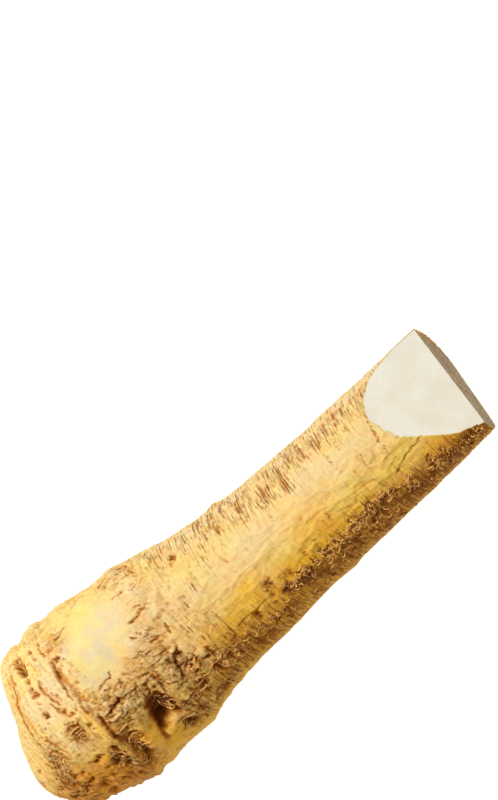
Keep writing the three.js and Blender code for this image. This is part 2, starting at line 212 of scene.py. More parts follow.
barkMarks = {
    # pits and dark spots: x, angle, half length, half way round, depth, darkness
    "pits": [
        (27.6, 30, 0.8, 1.8, 0.5, 0.7), (28.3, 35.5, 1.3, 2.0, 0.9, 0.9), (28.9, 41, 1.6, 1.9, 1.1, 1.0),
        (29.4, 45.5, 1.3, 1.9, 1.0, 0.95), (27.8, 47, 0.6, 0.8, 0.4, 0.6), (29.0, 53.5, 0.8, 1.4, 0.7, 0.9),
        (28.2, 58.5, 1.0, 0.9, 0.6, 0.85), (27.2, 61, 0.6, 0.5, 0.3, 0.6), (28.6, 64.5, 1.6, 1.1, 0.7, 0.8),
        (27.6, 70, 0.6, 0.9, 0.4, 0.7), (26.9, 73.5, 0.5, 0.8, 0.3, 0.6), (26.8, 79.5, 1.2, 0.8, 0.6, 0.9),
        (25.8, 83, 0.5, 0.6, 0.3, 0.6), (22.4, 80, 0.6, 0.5, 0.3, 0.5), (23.2, 84.5, 0.5, 1.0, 0.3, 0.6),
        (35.4, 37.5, 0.6, 0.9, 0.5, 0.8), (32.6, 43, 0.4, 0.7, 0.3, 0.6), (33.8, 50, 0.4, 1.3, 0.3, 0.7),
        (33.6, 55, 0.4, 0.8, 0.3, 0.6), (33.2, 61, 0.5, 0.9, 0.4, 0.65), (33.0, 66, 0.6, 1.0, 0.4, 0.7),
        (33.6, 70, 0.5, 0.9, 0.4, 0.7), (34.2, 73, 0.7, 1.0, 0.4, 0.75), (34.6, 76, 0.5, 0.8, 0.3, 0.7),
        (33.2, 83, 0.7, 1.3, 0.4, 0.7), (34.4, 86.5, 0.5, 0.8, 0.4, 0.6), (36.6, 87, 0.6, 0.8, 0.4, 0.8),
        (36.2, 98.5, 0.8, 1.0, 0.5, 0.85), (36.4, 101.5, 0.5, 0.6, 0.4, 0.7),
        (28.0, 121, 1.4, 1.0, 0.8, 1.0), (26.4, 119.5, 1.0, 0.5, 0.4, 0.7),
        (25.6, 110.5, 0.7, 0.5, 0.3, 0.6), (17.6, 121.5, 1.3, 1.0, 0.5, 0.85),
        (19.4, 133, 1.0, 0.9, 0.5, 0.9), (16.6, 137.5, 1.8, 1.3, 0.5, 0.9), (22.0, 143, 1.5, 1.0, 0.5, 0.9),
        (30.0, 148, 1.0, 1.2, 0.5, 0.8), (26.0, 153, 0.9, 1.3, 0.4, 0.8), (20.6, 125, 0.7, 0.6, 0.3, 0.7),
        (13.4, 118, 0.8, 0.8, 0.4, 0.7), (11.8, 103, 0.9, 0.7, 0.4, 0.65), (13.0, 131, 1.0, 0.7, 0.4, 0.8),
        (24.4, 131, 0.7, 0.6, 0.3, 0.7), (30.8, 112, 0.6, 0.6, 0.3, 0.6), (3.0, 95, 0.9, 2.6, 0.4, 0.6),
        (7.2, 84, 0.8, 0.7, 0.3, 0.6), (21.4, 158, 1.0, 1.2, 0.4, 0.7), (14.6, 150, 1.2, 0.8, 0.4, 0.7),
        (42.6, 54, 0.9, 0.8, 0.5, 0.8), (44.2, 58, 0.7, 0.6, 0.3, 0.7), (42.8, 60.5, 0.5, 0.6, 0.3, 0.6),
        (43.4, 66.5, 0.5, 0.8, 0.3, 0.5), (43.4, 75, 0.8, 0.5, 0.3, 0.5), (47.2, 75.5, 0.7, 0.5, 0.2, 0.4),
        (60.4, 103, 1.1, 0.9, 0.6, 0.95), (59.4, 106.5, 0.8, 0.9, 0.5, 0.9),
        (62.2, 107.5, 1.2, 0.8, 0.5, 0.9), (60.6, 111, 1.0, 1.2, 0.6, 0.95),
        (57.6, 110, 1.6, 1.4, 0.6, 0.85), (64.6, 104.5, 1.2, 0.7, 0.4, 0.8),
        (66.4, 105.5, 0.6, 0.6, 0.4, 0.8), (73.8, 84.6, 0.9, 0.6, 0.4, 0.75),
        (94.6, 40.5, 1.6, 2.0, 0.7, 1.0), (93.2, 46, 1.5, 1.3, 0.3, 0.55), (96.2, 40, 0.6, 0.7, 0.3, 0.7),
        (104.0, 126.5, 1.3, 1.5, 0.5, 0.95), (111.3, 127, 0.6, 1.3, 0.3, 0.8),
        (112.2, 141, 0.7, 2.2, 0.4, 0.8), (101.6, 147, 1.4, 2.6, 0.5, 0.85),
        (97.6, 146, 0.9, 2.6, 0.4, 0.8), (93.2, 143, 1.2, 2.2, 0.5, 0.85), (87.0, 137, 0.7, 3.4, 0.4, 0.8),
        (81.4, 133, 1.4, 1.6, 0.6, 1.0), (84.6, 122, 1.2, 0.8, 0.5, 0.8), (136.6, 108, 0.8, 0.6, 0.3, 0.75),
        (131.4, 111, 1.0, 2.2, 0.3, 0.45), (119.4, 114, 0.5, 1.6, 0.4, 0.85),
        (121.0, 114, 0.5, 1.6, 0.4, 0.8), (28.9, 31, 1.5, 2.6, 0.6, 0.85), (29.4, 38, 1.7, 2.6, 0.7, 0.9),
        (28.9, 43, 1.4, 1.8, 0.7, 0.95), (29.2, 53, 0.9, 1.5, 0.6, 0.9), (28, 59, 0.8, 1.2, 0.5, 0.85),
        (28.9, 62, 0.7, 0.7, 0.4, 0.8), (31, 17, 1.4, 2.2, 0.6, 0.8), (42, 56, 0.9, 0.8, 0.4, 0.8),
        (42.5, 53, 0.9, 0.9, 0.4, 0.75), (41, 45, 1.3, 0.9, 0.4, 0.75), (26.8, 78, 1.0, 1.6, 0.6, 0.9),
        (30, 118.5, 1.6, 1.6, 0.9, 1.0), (28.6, 116.5, 0.8, 1.0, -0.4, 0), (17.8, 117, 1.2, 1.4, 0.5, 0.85),
        (17.8, 121.5, 1.3, 1.3, 0.5, 0.85), (20.8, 123.5, 1.2, 1.0, 0.5, 0.85),
        (21.2, 132.5, 1.2, 1.2, 0.6, 1.0), (18, 134.5, 1.6, 2.8, 0.6, 1.0), (22, 144, 1.1, 3.4, 0.5, 0.95),
        (25.2, 132.5, 1.0, 1.0, 0.4, 0.8), (29.5, 129.5, 1.6, 1.3, 0.4, 0.75),
        (29, 146, 1.0, 1.6, 0.4, 0.85), (34, 150.5, 1.2, 2.8, 0.5, 0.9), (21.2, 159, 1.4, 3.0, 0.6, 0.95),
        (12.2, 115, 2.0, 2.4, 0.4, 0.55), (16.4, 127, 1.2, 1.4, 0.5, 0.9), (24.6, 138, 1.2, 1.6, 0.4, 0.85),
        (27.5, 139, 0.9, 1.2, 0.4, 0.8), (37.2, 141, 1.4, 2.0, -0.5, 0.4), (7.8, 84.5, 0.9, 0.8, 0.3, 0.7),
        (3.8, 95, 1.1, 1.6, 0.4, 0.85), (20.8, 88.5, 1.0, 0.9, 0.5, 0.8), (32.8, 83, 1.6, 1.0, 0.4, 0.7),
        (34.5, 87, 1.2, 0.9, 0.5, 0.85), (42.8, 134, 1.8, 3.6, 0.6, 1.0), (41.4, 141, 1.2, 3.2, 0.5, 1.0),
        (40.9, 125.5, 1.0, 2.6, 0.5, 1.0), (47, 98.8, 1.5, 1.1, 0.6, 1.0), (58.1, 98, 1.1, 0.9, 0.5, 0.9),
        (61.8, 102, 1.1, 0.7, 0.5, 0.95), (63.5, 97.6, 1.0, 0.7, 0.4, 0.85),
        (60, 150.5, 2.0, 4.2, 0.9, 1.0), (81.4, 115, 1.6, 1.5, -0.7, 0), (84, 117, 0.8, 2.0, 0.5, 1.0),
        (81.8, 120, 1.4, 0.9, 0.5, 1.0), (76, 123, 1.6, 1.2, 0.5, 1.0), (83.2, 130, 1.6, 1.6, 0.5, 1.0),
        (82.5, 137, 2.0, 2.6, 0.6, 1.0), (87, 132, 1.6, 1.8, 0.5, 1.0), (84.8, 129.5, 1.5, 1.5, -0.6, 0),
        (85, 136, 1.6, 2.2, -0.5, 0), (68, 109.5, 1.0, 0.8, 0.4, 0.85), (57.8, 89, 0.9, 0.8, 0.3, 0.7),
        (75.8, 104, 1.2, 0.9, 0.4, 0.9), (138.6, 88, 0.8, 0.5, 0.3, 0.45), (159.8, 76, 0.7, 0.5, 0.2, 0.4),
        (115.8, 106, 0.8, 0.8, 0.4, 0.5), (76.8, 158, 2.2, 3.0, 0.6, 0.95),
        (122.8, 115.5, 1.2, 2.0, 0.4, 0.75), (131.6, 111, 1.0, 1.4, 0.3, 0.6),
        (45.5, 126, 2.2, 3.2, 0.8, 0.9), (35, 127.5, 1.8, 2.6, 0.6, 0.9), (60, 134, 1.4, 1.8, 0.6, 0.8),
        (6, 126, 1.6, 2.4, 0.3, 0.6), (9, 114, 1.4, 1.6, 0.4, 0.8), (14.6, 124, 1.4, 2.0, 0.5, 0.9),
        (10.4, 134, 1.6, 2.2, 0.5, 0.9), (118, 124, 2.4, 2.4, 0.4, 0.9), (104, 121.5, 1.6, 2.2, 0.5, 0.95),
        (113, 119, 1.2, 1.4, 0.4, 0.85),
    ],
    # the deep hollow's parts: x, angle, half length, half way round, depth, and how dark its painted shade
    # ends up (0 on the lit wall)
    "hollow": [
        (59.8, 117.5, 3.0, 3.6, 1.4, 0.95), (56, 116, 2.4, 2.4, 0.8, 0.8), (62, 123.5, 1.8, 3.0, 0.6, 0.9),
        (61.4, 130.5, 1.4, 3.6, 0.7, 0.9), (55.6, 127, 3.6, 5.4, 2.6, 1.0),
        (52.6, 134.5, 1.5, 3.4, 1.0, 0.9), (50.8, 141.5, 1.1, 3.0, 0.6, 0.55),
        (58.2, 139, 2.2, 1.7, -1.0, 0.0), (54.6, 142.4, 2.4, 1.7, -1.0, 0.0),
    ],
    # torn scars with curled layers of bark: x, angle, half length, half way round, depth, darkness, and
    # the step along and round to the centre that the layers curl about
    "tornScars": [
        (31.0, 98, 3.6, 4.2, 0.7, 1.0, 0.3, 3.2), (15.8, 106, 3.8, 4.4, 0.5, 0.85, 4, 1),
        (34.2, 130, 2.6, 4.0, 0.6, 0.9, -2, 3), (43.2, 118.5, 3.0, 3.6, 0.7, 1.0, 1, 4.2),
        (41.6, 131, 2.4, 3.2, 0.8, 1.0, 3, 6), (42.4, 141, 2.4, 4.4, 0.8, 1.0, 5, -4),
        (49.2, 98, 1.6, 1.4, 0.6, 1.0, 5, 2), (58.4, 117, 2.2, 2.6, 0.6, 1.0, 3, -4),
        (60.2, 150, 2.2, 4.2, 0.7, 1.0, -3, 4), (72.4, 106, 1.5, 4.6, 0.7, 1.0, 5, 0.5),
        (75.4, 104, 1.6, 1.4, 0.5, 0.95, 0, 4), (73.2, 132, 3.2, 3.0, 0.7, 1.0, 2, -5),
        (76.8, 118, 2.6, 2.2, 0.5, 0.85, -3, -2), (76.0, 151, 2.6, 1.8, 0.5, 0.9, 0, 5),
        (71.2, 158, 1.4, 1.2, 0.4, 0.8, 0, 4), (81.8, 130, 1.8, 1.6, 0.5, 0.9, 3, 3),
        (64.6, 133, 2.2, 2.4, 0.4, 0.4, 0, 6), (65.6, 147, 2.6, 2.6, 0.4, 0.4, 0, 6),
        (114.2, 110, 2.2, 2.4, 0.4, 0.6, 2, 3), (118.2, 126, 1.8, 2.0, 0.7, 1.0, 0, 4),
        (46.6, 113, 2.4, 2.0, 0.5, 0.6, 3, 6), (73.8, 113, 2.6, 2.2, 0.3, 0.55, 5, 5),
        (54.2, 100.6, 2.2, 1.2, 0.4, 0.7, 0, 4), (36.4, 138, 2.8, 4.2, 0.7, 1.0, 2, -4),
        (38.6, 147, 2.4, 3.6, 0.6, 1.0, 2, 4), (69.6, 120, 1.6, 1.8, 0.3, 0.3, 3, 3),
    ],
    # cracks and creases: points (x, angle), half width, depth, darkness; the darkness is the cracks' brown
    # and, in the creases, painted shade
    "cracks": [
        ([(24.2, 39), (24, 45.5), (22.8, 51), (21.8, 55), (20.8, 57.5), (19.5, 61.5)], 0.5, 0.5, 0.75),
        ([(24.8, 43.5), (24.6, 47), (23.8, 54.5), (22.2, 58)], 0.35, 0.3, 0.5),
        ([(19.4, 63), (18.2, 71), (17.4, 80), (17.2, 87)], 0.5, 0.4, 0.65),
        ([(26, 30), (24.6, 36)], 0.5, 0.3, 0.5), ([(35, 36), (35.2, 39)], 0.5, 0.4, 0.8),
        ([(35.6, 43), (36, 45.4)], 0.4, 0.3, 0.7), ([(39.2, 35), (39, 41.5), (39, 47.5)], 0.55, 0.6, 0.75),
        ([(33.6, 45), (34, 48)], 0.3, 0.3, 0.5),
        ([(32.5, 58), (31.5, 63), (31.8, 65.5), (32, 68.5), (32.8, 74.5), (32.8, 77.5)], 0.55, 0.5, 0.75),
        ([(31, 74.5), (31, 77.5), (31.2, 79)], 0.5, 0.4, 0.7),
        ([(31.8, 80), (32.4, 84), (33.2, 87)], 0.7, 0.5, 0.65),
        ([(40.2, 53.5), (40.2, 58), (39.5, 63.5), (39, 68.5), (38.5, 73.5), (38, 78), (38.4, 81)],
         0.55, 0.8, 0.85),
        ([(41.2, 61), (40.5, 63.5), (40, 68.5)], 0.3, 0.3, 0.7),
        ([(39.8, 83), (39, 87.5), (39, 92.5)], 0.5, 0.5, 0.7),
        # painted shadow along the shaded side of the gold ridge
        ([(40.6, 99), (40.3, 106.5), (39.8, 111.5), (39.9, 118)], 0.75, 1.0, 1.0),
        ([(36, 117.5), (36.8, 122), (37, 128.5), (36, 135.5), (34.8, 138.5)], 0.8, 0.8, 0.95),
        ([(30, 89), (32.2, 91), (33.8, 93.5)], 0.4, 0.4, 0.9),
        ([(20.8, 90), (21.8, 97), (23, 104)], 0.5, 0.4, 0.6),
        ([(17.8, 95), (20, 98), (21.4, 104)], 0.4, 0.4, 0.65), ([(21, 105), (21.8, 109)], 0.6, 0.4, 0.7),
        ([(33.8, 123), (34.2, 119), (35, 116)], 0.6, 0.4, 0.6),
        ([(44.8, 41), (46.8, 40.5), (48.2, 40.5), (50.5, 38.5)], 0.4, 0.45, 0.85),
        ([(46.2, 38), (47.8, 38)], 0.35, 0.3, 0.7), ([(40.8, 47), (43.4, 46.2)], 0.5, 0.35, 0.7),
        ([(41.4, 52.6), (43.2, 54.4)], 0.6, 0.4, 0.8),
        ([(47.2, 86.5), (50.2, 85.5), (53.2, 85), (54, 82.5)], 0.4, 0.5, 0.8),
        ([(51.8, 92), (54.5, 91)], 0.35, 0.4, 0.7),
        ([(57.2, 88.4), (58.6, 91.4), (60.2, 91.8)], 0.35, 0.3, 0.55),
        ([(79.8, 82), (79.5, 85.5), (79, 89)], 0.4, 0.5, 0.95), ([(75, 59.5), (77, 61.5)], 0.35, 0.3, 0.75),
        ([(72, 85.5), (73.8, 86.5), (74.6, 86.2)], 0.45, 0.4, 0.85),
        ([(70.2, 43.6), (72.4, 43), (74.6, 42.6)], 0.3, 0.35, 0.65),
        ([(60.6, 96.6), (63, 97.8)], 0.4, 0.4, 0.75),
        ([(67.4, 22.4), (69.6, 19.6), (71.8, 17.8)], 0.42, 0.4, 0.7),
        ([(68, 27.6), (70.6, 24.6), (72.6, 24)], 0.42, 0.4, 0.65),
        ([(73.6, 13), (77, 16), (79.4, 19)], 0.45, 0.4, 0.75), ([(79.6, 25), (80.4, 32)], 0.5, 0.4, 0.65),
        ([(69.2, 125.5), (70.2, 136), (70.8, 146)], 0.5, 0.5, 0.6),
        ([(64.8, 136.5), (66, 145), (67.2, 154.5)], 0.5, 0.5, 0.6),
        ([(62.5, 139.5), (63.6, 149), (64.5, 160.5)], 0.5, 0.5, 0.6),
        ([(67.2, 124), (68, 130), (67.6, 140)], 0.4, 0.4, 0.5),
        ([(97.5, 118.6), (101, 118), (105, 119), (110, 117.8)], 0.5, 0.5, 0.25),
        ([(157.0, 110), (158.2, 104), (159.6, 99.4), (163.2, 99.8)], 0.5, 0.35, 0.3),
        ([(162.6, 103), (166, 104.4), (168.6, 108.4)], 0.5, 0.4, 0.25),
        ([(149.6, 104), (153, 106.4), (155, 109.6)], 0.5, 0.3, 0.2),
        ([(174.6, 114.6), (176.8, 112.6), (179.6, 110), (182.4, 108.4), (186.6, 107.6), (190.5, 105.4)],
         0.5, 0.7, 0.4),
        ([(183.6, 92.6), (185.8, 90.4)], 0.5, 0.4, 0.5),
        ([(178.8, 64), (178.2, 74), (177.4, 84), (176.8, 98)], 0.3, 0.25, 0.8),
        ([(164.4, 60), (164.6, 70)], 0.3, 0.15, 0.4), ([(163.9, 88), (164, 97)], 0.3, 0.2, 0.6),
        ([(160, 62), (159.4, 71)], 0.3, 0.15, 0.45), ([(146.4, 95), (146.0, 107)], 0.35, 0.25, 0.6),
        ([(143.6, 101), (143.6, 110)], 0.3, 0.2, 0.5), ([(131.0, 67), (131.4, 73)], 0.3, 0.15, 0.4),
        ([(117.6, 75), (118.2, 82)], 0.3, 0.15, 0.4), ([(109, 66), (109.6, 75)], 0.3, 0.15, 0.5),
    ],
    # clumps of brown streaks that run round the shaft: x, from angle, to angle, half width, darkness
    "streaks": [
        (80.4, 4, 16, 0.9, 0.6), (86.4, 10, 24, 0.9, 0.55), (92.5, 3, 13, 0.9, 0.6),
        (100.2, 12, 30, 0.9, 0.6), (106.2, 12, 34, 1.0, 0.75), (108.4, 20, 46, 1.0, 0.8),
        (105.6, 34, 50, 0.8, 0.6), (112.6, 20, 46, 1.4, 1.0), (115.4, 36, 50, 0.8, 0.6),
        (117.4, 18, 34, 0.8, 0.6), (121.2, 14, 28, 1.0, 0.65), (123.4, 30, 53, 1.4, 1.0),
        (127.2, 22, 44, 1.0, 0.75), (128.8, 18, 30, 0.8, 0.6), (130.4, 46, 64, 0.8, 0.95),
        (133.8, 34, 60, 1.4, 0.85), (137.2, 44, 56, 1.2, 1.0), (139.4, 22, 40, 1.4, 0.6),
        (141.6, 42, 58, 1.6, 1.0), (144.0, 52, 62, 0.8, 0.8), (141.6, 32, 42, 1.4, 0.75),
        (147.6, 22, 36, 1.6, 0.95), (145.4, 34, 50, 0.8, 0.6), (151.4, 24, 46, 1.6, 1.0),
        (153.6, 34, 48, 1.0, 0.7), (149.2, 36, 50, 0.8, 0.6), (155.8, 22, 40, 0.9, 0.6),
        (157.4, 34, 46, 0.8, 0.55), (159.8, 30, 48, 1.2, 0.8), (161.6, 30, 44, 0.8, 0.6),
        (164.4, 32, 45, 1.4, 0.95), (163.4, 45, 55, 1.2, 0.6), (166.6, 36, 50, 0.8, 0.6),
        (169.6, 28, 42, 1.4, 1.0), (171.2, 42, 56, 0.8, 0.65), (173.6, 26, 40, 0.8, 0.5),
        (181.4, 34, 46, 1.6, 0.95), (180.0, 50, 62, 1.0, 0.8), (178.4, 44, 56, 0.8, 0.6),
        (183.4, 28, 36, 0.9, 0.7), (104.2, 53, 67, 0.8, 0.5), (101.2, 54, 65, 0.8, 0.5),
        (97.0, 58, 68, 0.8, 0.45), (94.9, 66, 78, 0.8, 0.45), (118.0, 34, 46, 0.8, 0.5),
        (111.4, 52, 64, 0.8, 0.5), (89.6, 44, 56, 0.9, 0.5), (99.0, 34, 46, 0.9, 0.5),
        (170.2, 84, 94, 1.2, 0.4), (168.2, 78, 90, 1.0, 0.35), (143.2, 116, 128, 1.6, 0.75),
        (151.6, 118, 126, 1.4, 0.5), (136.0, 116, 126, 1.6, 0.6), (160.4, 114, 124, 1.4, 0.6),
        (168.6, 116, 128, 1.2, 0.6), (179, 120, 136, 1.6, 0.7), (84, 72, 98, 0.6, 0.6),
        (86.5, 84, 118, 0.7, 0.7), (89, 74, 98, 0.6, 0.6), (91, 90, 120, 0.7, 0.7),
        (82.5, 92, 108, 0.6, 0.6), (93.8, 98, 118, 0.7, 0.6), (87.6, 56, 70, 0.7, 0.5),
    ],
    # where the hairy band starts on the -Y side: x, angle
    "hairEdge": [
        (112, 128), (117, 120), (124, 125), (131, 126), (140, 128), (146, 129), (151, 123), (157, 121),
        (164, 118), (168, 122), (172, 131), (180, 138), (185, 129), (200, 131), (208, 134),
    ],
    # calm bark, without flakes or crumpling: x, angle, half length, half way round
    "calm": [
        (83, 97, 7, 8), (49, 131, 4, 8), (54, 151, 6, 6), (66, 146, 6, 6), (67, 127, 5, 5), (72, 150, 5, 5),
    ],
    # patches of another colour: x, angle, half length, half way round, colour name, strength
    "patches": [
        (54, 63, 14, 11, "ivory", 0.95), (50, 78, 6, 8, "ivory", 0.85), (84, 68, 9, 9, "cream", 0.35),
        (31, 70, 7, 9, "cream", 0.7), (24, 72, 5, 9, "cream", 0.5), (27, 102, 5, 5, "cream", 0.5),
        (36, 62, 1.8, 16, "cream", 0.7), (118, 78, 16, 5, "cream", 0.6), (150, 66, 12, 5, "cream", 0.7),
        (168, 72, 10, 5, "cream", 0.5), (186, 74, 6, 7, "cream", 0.4), (155, 119, 6, 4, "gold", 0.6),
        (104, 109, 8, 5.5, "gold", 1.0), (104, 107, 5, 3.5, "straw", 0.4), (110, 100, 6, 4, "gold", 0.6),
        (128, 113, 9, 5, "gold", 0.8), (140, 98, 12, 7, "gold", 0.65), (135, 118, 14, 3, "gold", 0.8),
        (152, 112, 9, 4, "gold", 0.7), (57, 30, 6, 7, "green", 0.6), (54.5, 40, 3, 12, "green", 0.8),
        (47, 68, 4, 5, "green", 0.7), (62, 52, 4, 6, "peach", 0.5), (44, 84, 3, 4, "green", 0.5),
        (50, 44, 4, 5, "peach", 0.5), (66, 36, 5, 6, "peach", 0.6), (37.4, 103, 1.5, 4.6, "gold", 1.0),
        (32.6, 122, 1.4, 3, "gold", 0.9), (36.6, 118, 3, 5, "green", 0.3), (46, 138, 4, 6, "ochre", 0.5),
        (49, 112, 8, 8, "ochre", 0.6), (16, 134, 9, 14, "brown", 0.35), (26, 136, 8, 9, "ochre", 0.6),
        (66.8, 116, 2.4, 1.6, "green", 0.7), (121, 96, 8, 3, "olive", 0.4), (134, 108, 8, 3, "olive", 0.5),
        (173, 106, 10, 4, "olive", 0.8), (152, 104, 8, 3, "olive", 0.6), (183, 104, 8, 4.5, "olive", 0.8),
        (160, 97, 9, 4, "olive", 0.5), (187, 112, 7, 5, "straw", 0.6), (191, 122, 6, 4, "ochre", 0.5),
        (144, 108, 5, 5, "rust", 0.35), (23.4, 44, 1.6, 5, "rust", 0.6), (21, 58, 1.8, 4, "rust", 0.5),
        (19, 70, 1.6, 5, "rust", 0.4), (40.2, 66, 0.9, 8, "rust", 0.7), (172, 90, 9, 5, "peach", 0.5),
        (150, 80, 12, 6, "peach", 0.35), (112, 84, 12, 5, "peach", 0.4), (140, 74, 8, 4, "peach", 0.35),
        (60, 96, 10, 7, "tan", 0.5), (70, 98, 6, 8, "tan", 0.6), (47, 98, 6, 7, "tan", 0.45),
        (15, 96, 6, 9, "tan", 0.4), (81.4, 115, 1.7, 1.7, "bone", 1.0), (75, 110, 3, 3.2, "mauve", 0.7),
        (85, 136, 1.8, 2.6, "grey", 0.6), (77.6, 105, 2.2, 1.4, "bone", 0.8),
        (84.8, 129.5, 1.8, 1.8, "bone", 0.9), (71, 74.5, 3.4, 2.6, "bone", 0.95),
        (67.4, 84.5, 3.6, 2.8, "bone", 0.9), (75, 71, 2.0, 2.2, "bone", 0.8),
        (73.4, 48, 5, 7, "bone", 0.55), (76.6, 36, 3, 4, "bone", 0.4), (53.6, 94.4, 2.2, 1.8, "bone", 0.5),
        (46.8, 93, 1.2, 1.4, "ochre", 0.6), (28.4, 63.5, 1.4, 1.6, "grey", 0.6),
        (28.8, 40, 1.5, 3.2, "grey", 0.4), (73.6, 111, 2.4, 2.6, "mauve", 0.6), (59, 92, 2, 3, "grey", 0.3),
        # the deep hollow: brown, partly painted shade, and peach, gold and amber on its wall as painted
        # light
        (55.6, 125, 4.6, 6.6, "brown", 0.7), (58.2, 139, 2.4, 1.8, "peach", 0.8),
        (54.6, 142.4, 2.6, 1.8, "gold", 0.7), (56.6, 136, 2.6, 1.8, "amber", 0.9),
        (55, 150, 6, 5, "gold", 0.5), (48, 132, 3.5, 8, "gold", 0.4), (77.5, 54, 4, 8, "cream", 0.8),
        (72, 77.5, 3.4, 4.6, "cream", 0.9), (67, 83, 4, 4.2, "cream", 0.9), (75, 65, 2.4, 4, "tan", 0.7),
        (77, 80, 2, 4, "tan", 0.6), (69, 96, 4, 4, "tan", 0.7), (63, 89, 3.2, 5, "tan", 0.7),
        (62, 77, 2, 3, "tan", 0.5), (71, 106, 1.6, 6, "straw", 0.7), (70.5, 121, 4, 4, "straw", 0.6),
        (64, 56, 8, 9, "ivory", 0.8), (203, 12, 14, 12, "cream", 0.9), (73, 26, 6, 7, "cream", 0.5),
        (80.5, 103, 2.4, 2.2, "bone", 0.9), (55, 100, 3, 3, "peach", 0.6), (74, 104, 10, 10, "bone", 0.6),
        (53, 110, 5, 7, "straw", 0.6), (16, 40, 8, 14, "pale", 0.5), (208, 322, 4, 12, "brown", 0.9),
        (208, 342, 3, 3, "deep", 0.9), (208, 334, 2, 3, "gold", 0.8), (208, 180, 3, 5, "deep", 0.8),
        (17, 30, 7, 8, "cream", 0.4), (86, 96, 9, 9, "peach", 0.5), (43.6, 92, 2.5, 6, "bone", 0.6),
        (56, 108, 3, 8, "straw", 0.7), (37.5, 20, 2.5, 4, "brown", 0.5), (202, 138, 6, 5, "brown", 0.7),
        (204, 134, 4, 2.5, "deep", 0.5), (67, 127, 5, 6, "straw", 0.7), (66, 145, 6, 6, "straw", 0.6),
        (72, 150, 5, 5, "straw", 0.4), (116, 152, 12, 14, "gold", 0.6), (31, 99.5, 2.4, 2.6, "brown", 0.6),
        (16, 107, 2.0, 2.6, "brown", 0.6), (27, 122, 2.2, 2.2, "brown", 0.6),
        # brown at (36, 143) darkens the crown's low side: partly painted shade
        (12, 120, 2.4, 3, "brown", 0.4), (60.4, 149, 2.4, 4.2, "deep", 0.8), (36, 143, 8, 8, "brown", 0.5),
        (88, 112, 5, 4, "gold", 0.5),
    ],
    # raised lines: points (x, angle), half width, height, colour name, strength; the pale colours are
    # partly painted highlight
    "crests": [
        ([(40.4, 20), (39.4, 44), (38.9, 60), (38.4, 72), (38.9, 82), (39.9, 88)], 0.9, 0.8, "cream", 0.5),
        ([(38.4, 91), (38.2, 100), (38.5, 108), (38.9, 117)], 1.0, 0.9, "gold", 0.9),
        ([(36.0, 86), (36.6, 96), (37.0, 106), (37.2, 114)], 0.6, 0.5, "straw", 0.6),
        ([(37.8, 120), (38.1, 130), (38.4, 138), (39.4, 148)], 0.9, 0.8, "gold", 0.5),
        ([(33.2, 78), (33.6, 88), (34.2, 98), (34.8, 108)], 0.6, 0.5, "gold", 0.5),
        ([(34.8, 30), (34.4, 46), (34.0, 60), (33.6, 72)], 0.8, 0.5, "cream", 0.4),
        ([(30.6, 44), (30.8, 60), (31.2, 74), (30.6, 86)], 0.8, 0.5, "peach", 0.3),
        ([(25.2, 34), (24.6, 48), (23.4, 62), (22.6, 76), (23.4, 90)], 0.9, 0.6, "cream", 0.4),
        ([(21.6, 30), (20.4, 46), (18.6, 60), (17.0, 74)], 0.8, 0.6, "peach", 0.4),
        ([(19.6, 92), (21.0, 102), (22.4, 112)], 0.7, 0.5, "straw", 0.4),
        ([(59.8, 112), (60.8, 120), (60.4, 128), (58.6, 135), (55.6, 137)], 0.9, 0.9, "straw", 0.7),
        ([(50.4, 134), (48.6, 128), (48.4, 120), (49.6, 113)], 1.2, 0.7, "gold", 0.4),
        ([(67.8, 101), (67.2, 107), (67.8, 113), (69.6, 118)], 0.9, 0.8, "straw", 0.7),
        ([(70.8, 100), (73.4, 99), (76.6, 100.5), (79.4, 104)], 0.8, 0.5, "peach", 0.6),
        ([(62.6, 113), (63.6, 122), (63.4, 132)], 0.7, 0.6, "tan", 0.5),
        ([(66.4, 124), (67.2, 134), (66.4, 144)], 0.7, 0.6, "straw", 0.5),
        ([(45.8, 96.8), (46.0, 92.6), (47.6, 90.0), (50.2, 88.6)], 0.7, 0.8, "peach", 0.6),
        ([(43.4, 106.6), (46.6, 106.4), (49.4, 105.8), (51.8, 103.4)], 0.8, 0.9, "peach", 0.5),
        ([(48.2, 97.8), (50.6, 95.4), (53.6, 95.0)], 0.7, 0.7, "tan", 0.5),
        ([(52.6, 101.4), (55.0, 100.0), (57.8, 98.2)], 0.7, 0.7, "peach", 0.6),
        ([(52.0, 106.6), (54.6, 107.4), (56.8, 109.4)], 0.7, 0.7, "straw", 0.6),
        ([(56.6, 92.2), (58.6, 93.8), (60.8, 94.0)], 0.6, 0.5, "peach", 0.5),
    ],
    # folds with a crest in painted highlight and a gutter in painted shade beside it: points, half width,
    # rise, darkness
    "folds": [
        ([(46.2, 92.0), (46.6, 89.8), (48.4, 88.8), (50.6, 89.8)], 0.6, 0.8, 0.85),
        ([(45.5, 99.4), (47, 98.5), (49, 97.6), (50.5, 97.3), (52, 98.3)], 1.1, 1.5, 1.0),
        ([(54.8, 90), (54.2, 92.5), (53.2, 94)], 0.6, 0.8, 0.85),
        ([(56.6, 92.4), (55, 94), (53.4, 95.4)], 0.6, 0.8, 0.85),
        ([(42, 99.6), (44.6, 99.4), (46.4, 100.6)], 0.6, 0.7, 0.6),
        ([(41, 104.5), (42.5, 105), (44, 106), (45.6, 105.5), (48, 104.4)], 0.8, 1.1, 0.95),
        ([(56.5, 98.6), (56, 101.5), (55.4, 103.8)], 0.6, 0.8, 0.9),
        ([(57.4, 105.8), (56.5, 108.5), (55.2, 110.6)], 0.6, 0.9, 0.9),
        ([(59, 107.4), (57.8, 110), (56, 112.6)], 0.6, 0.9, 0.95),
        ([(63.5, 102.6), (63.6, 106.5), (63, 110), (63, 113.6)], 1.0, 0.9, 1.0),
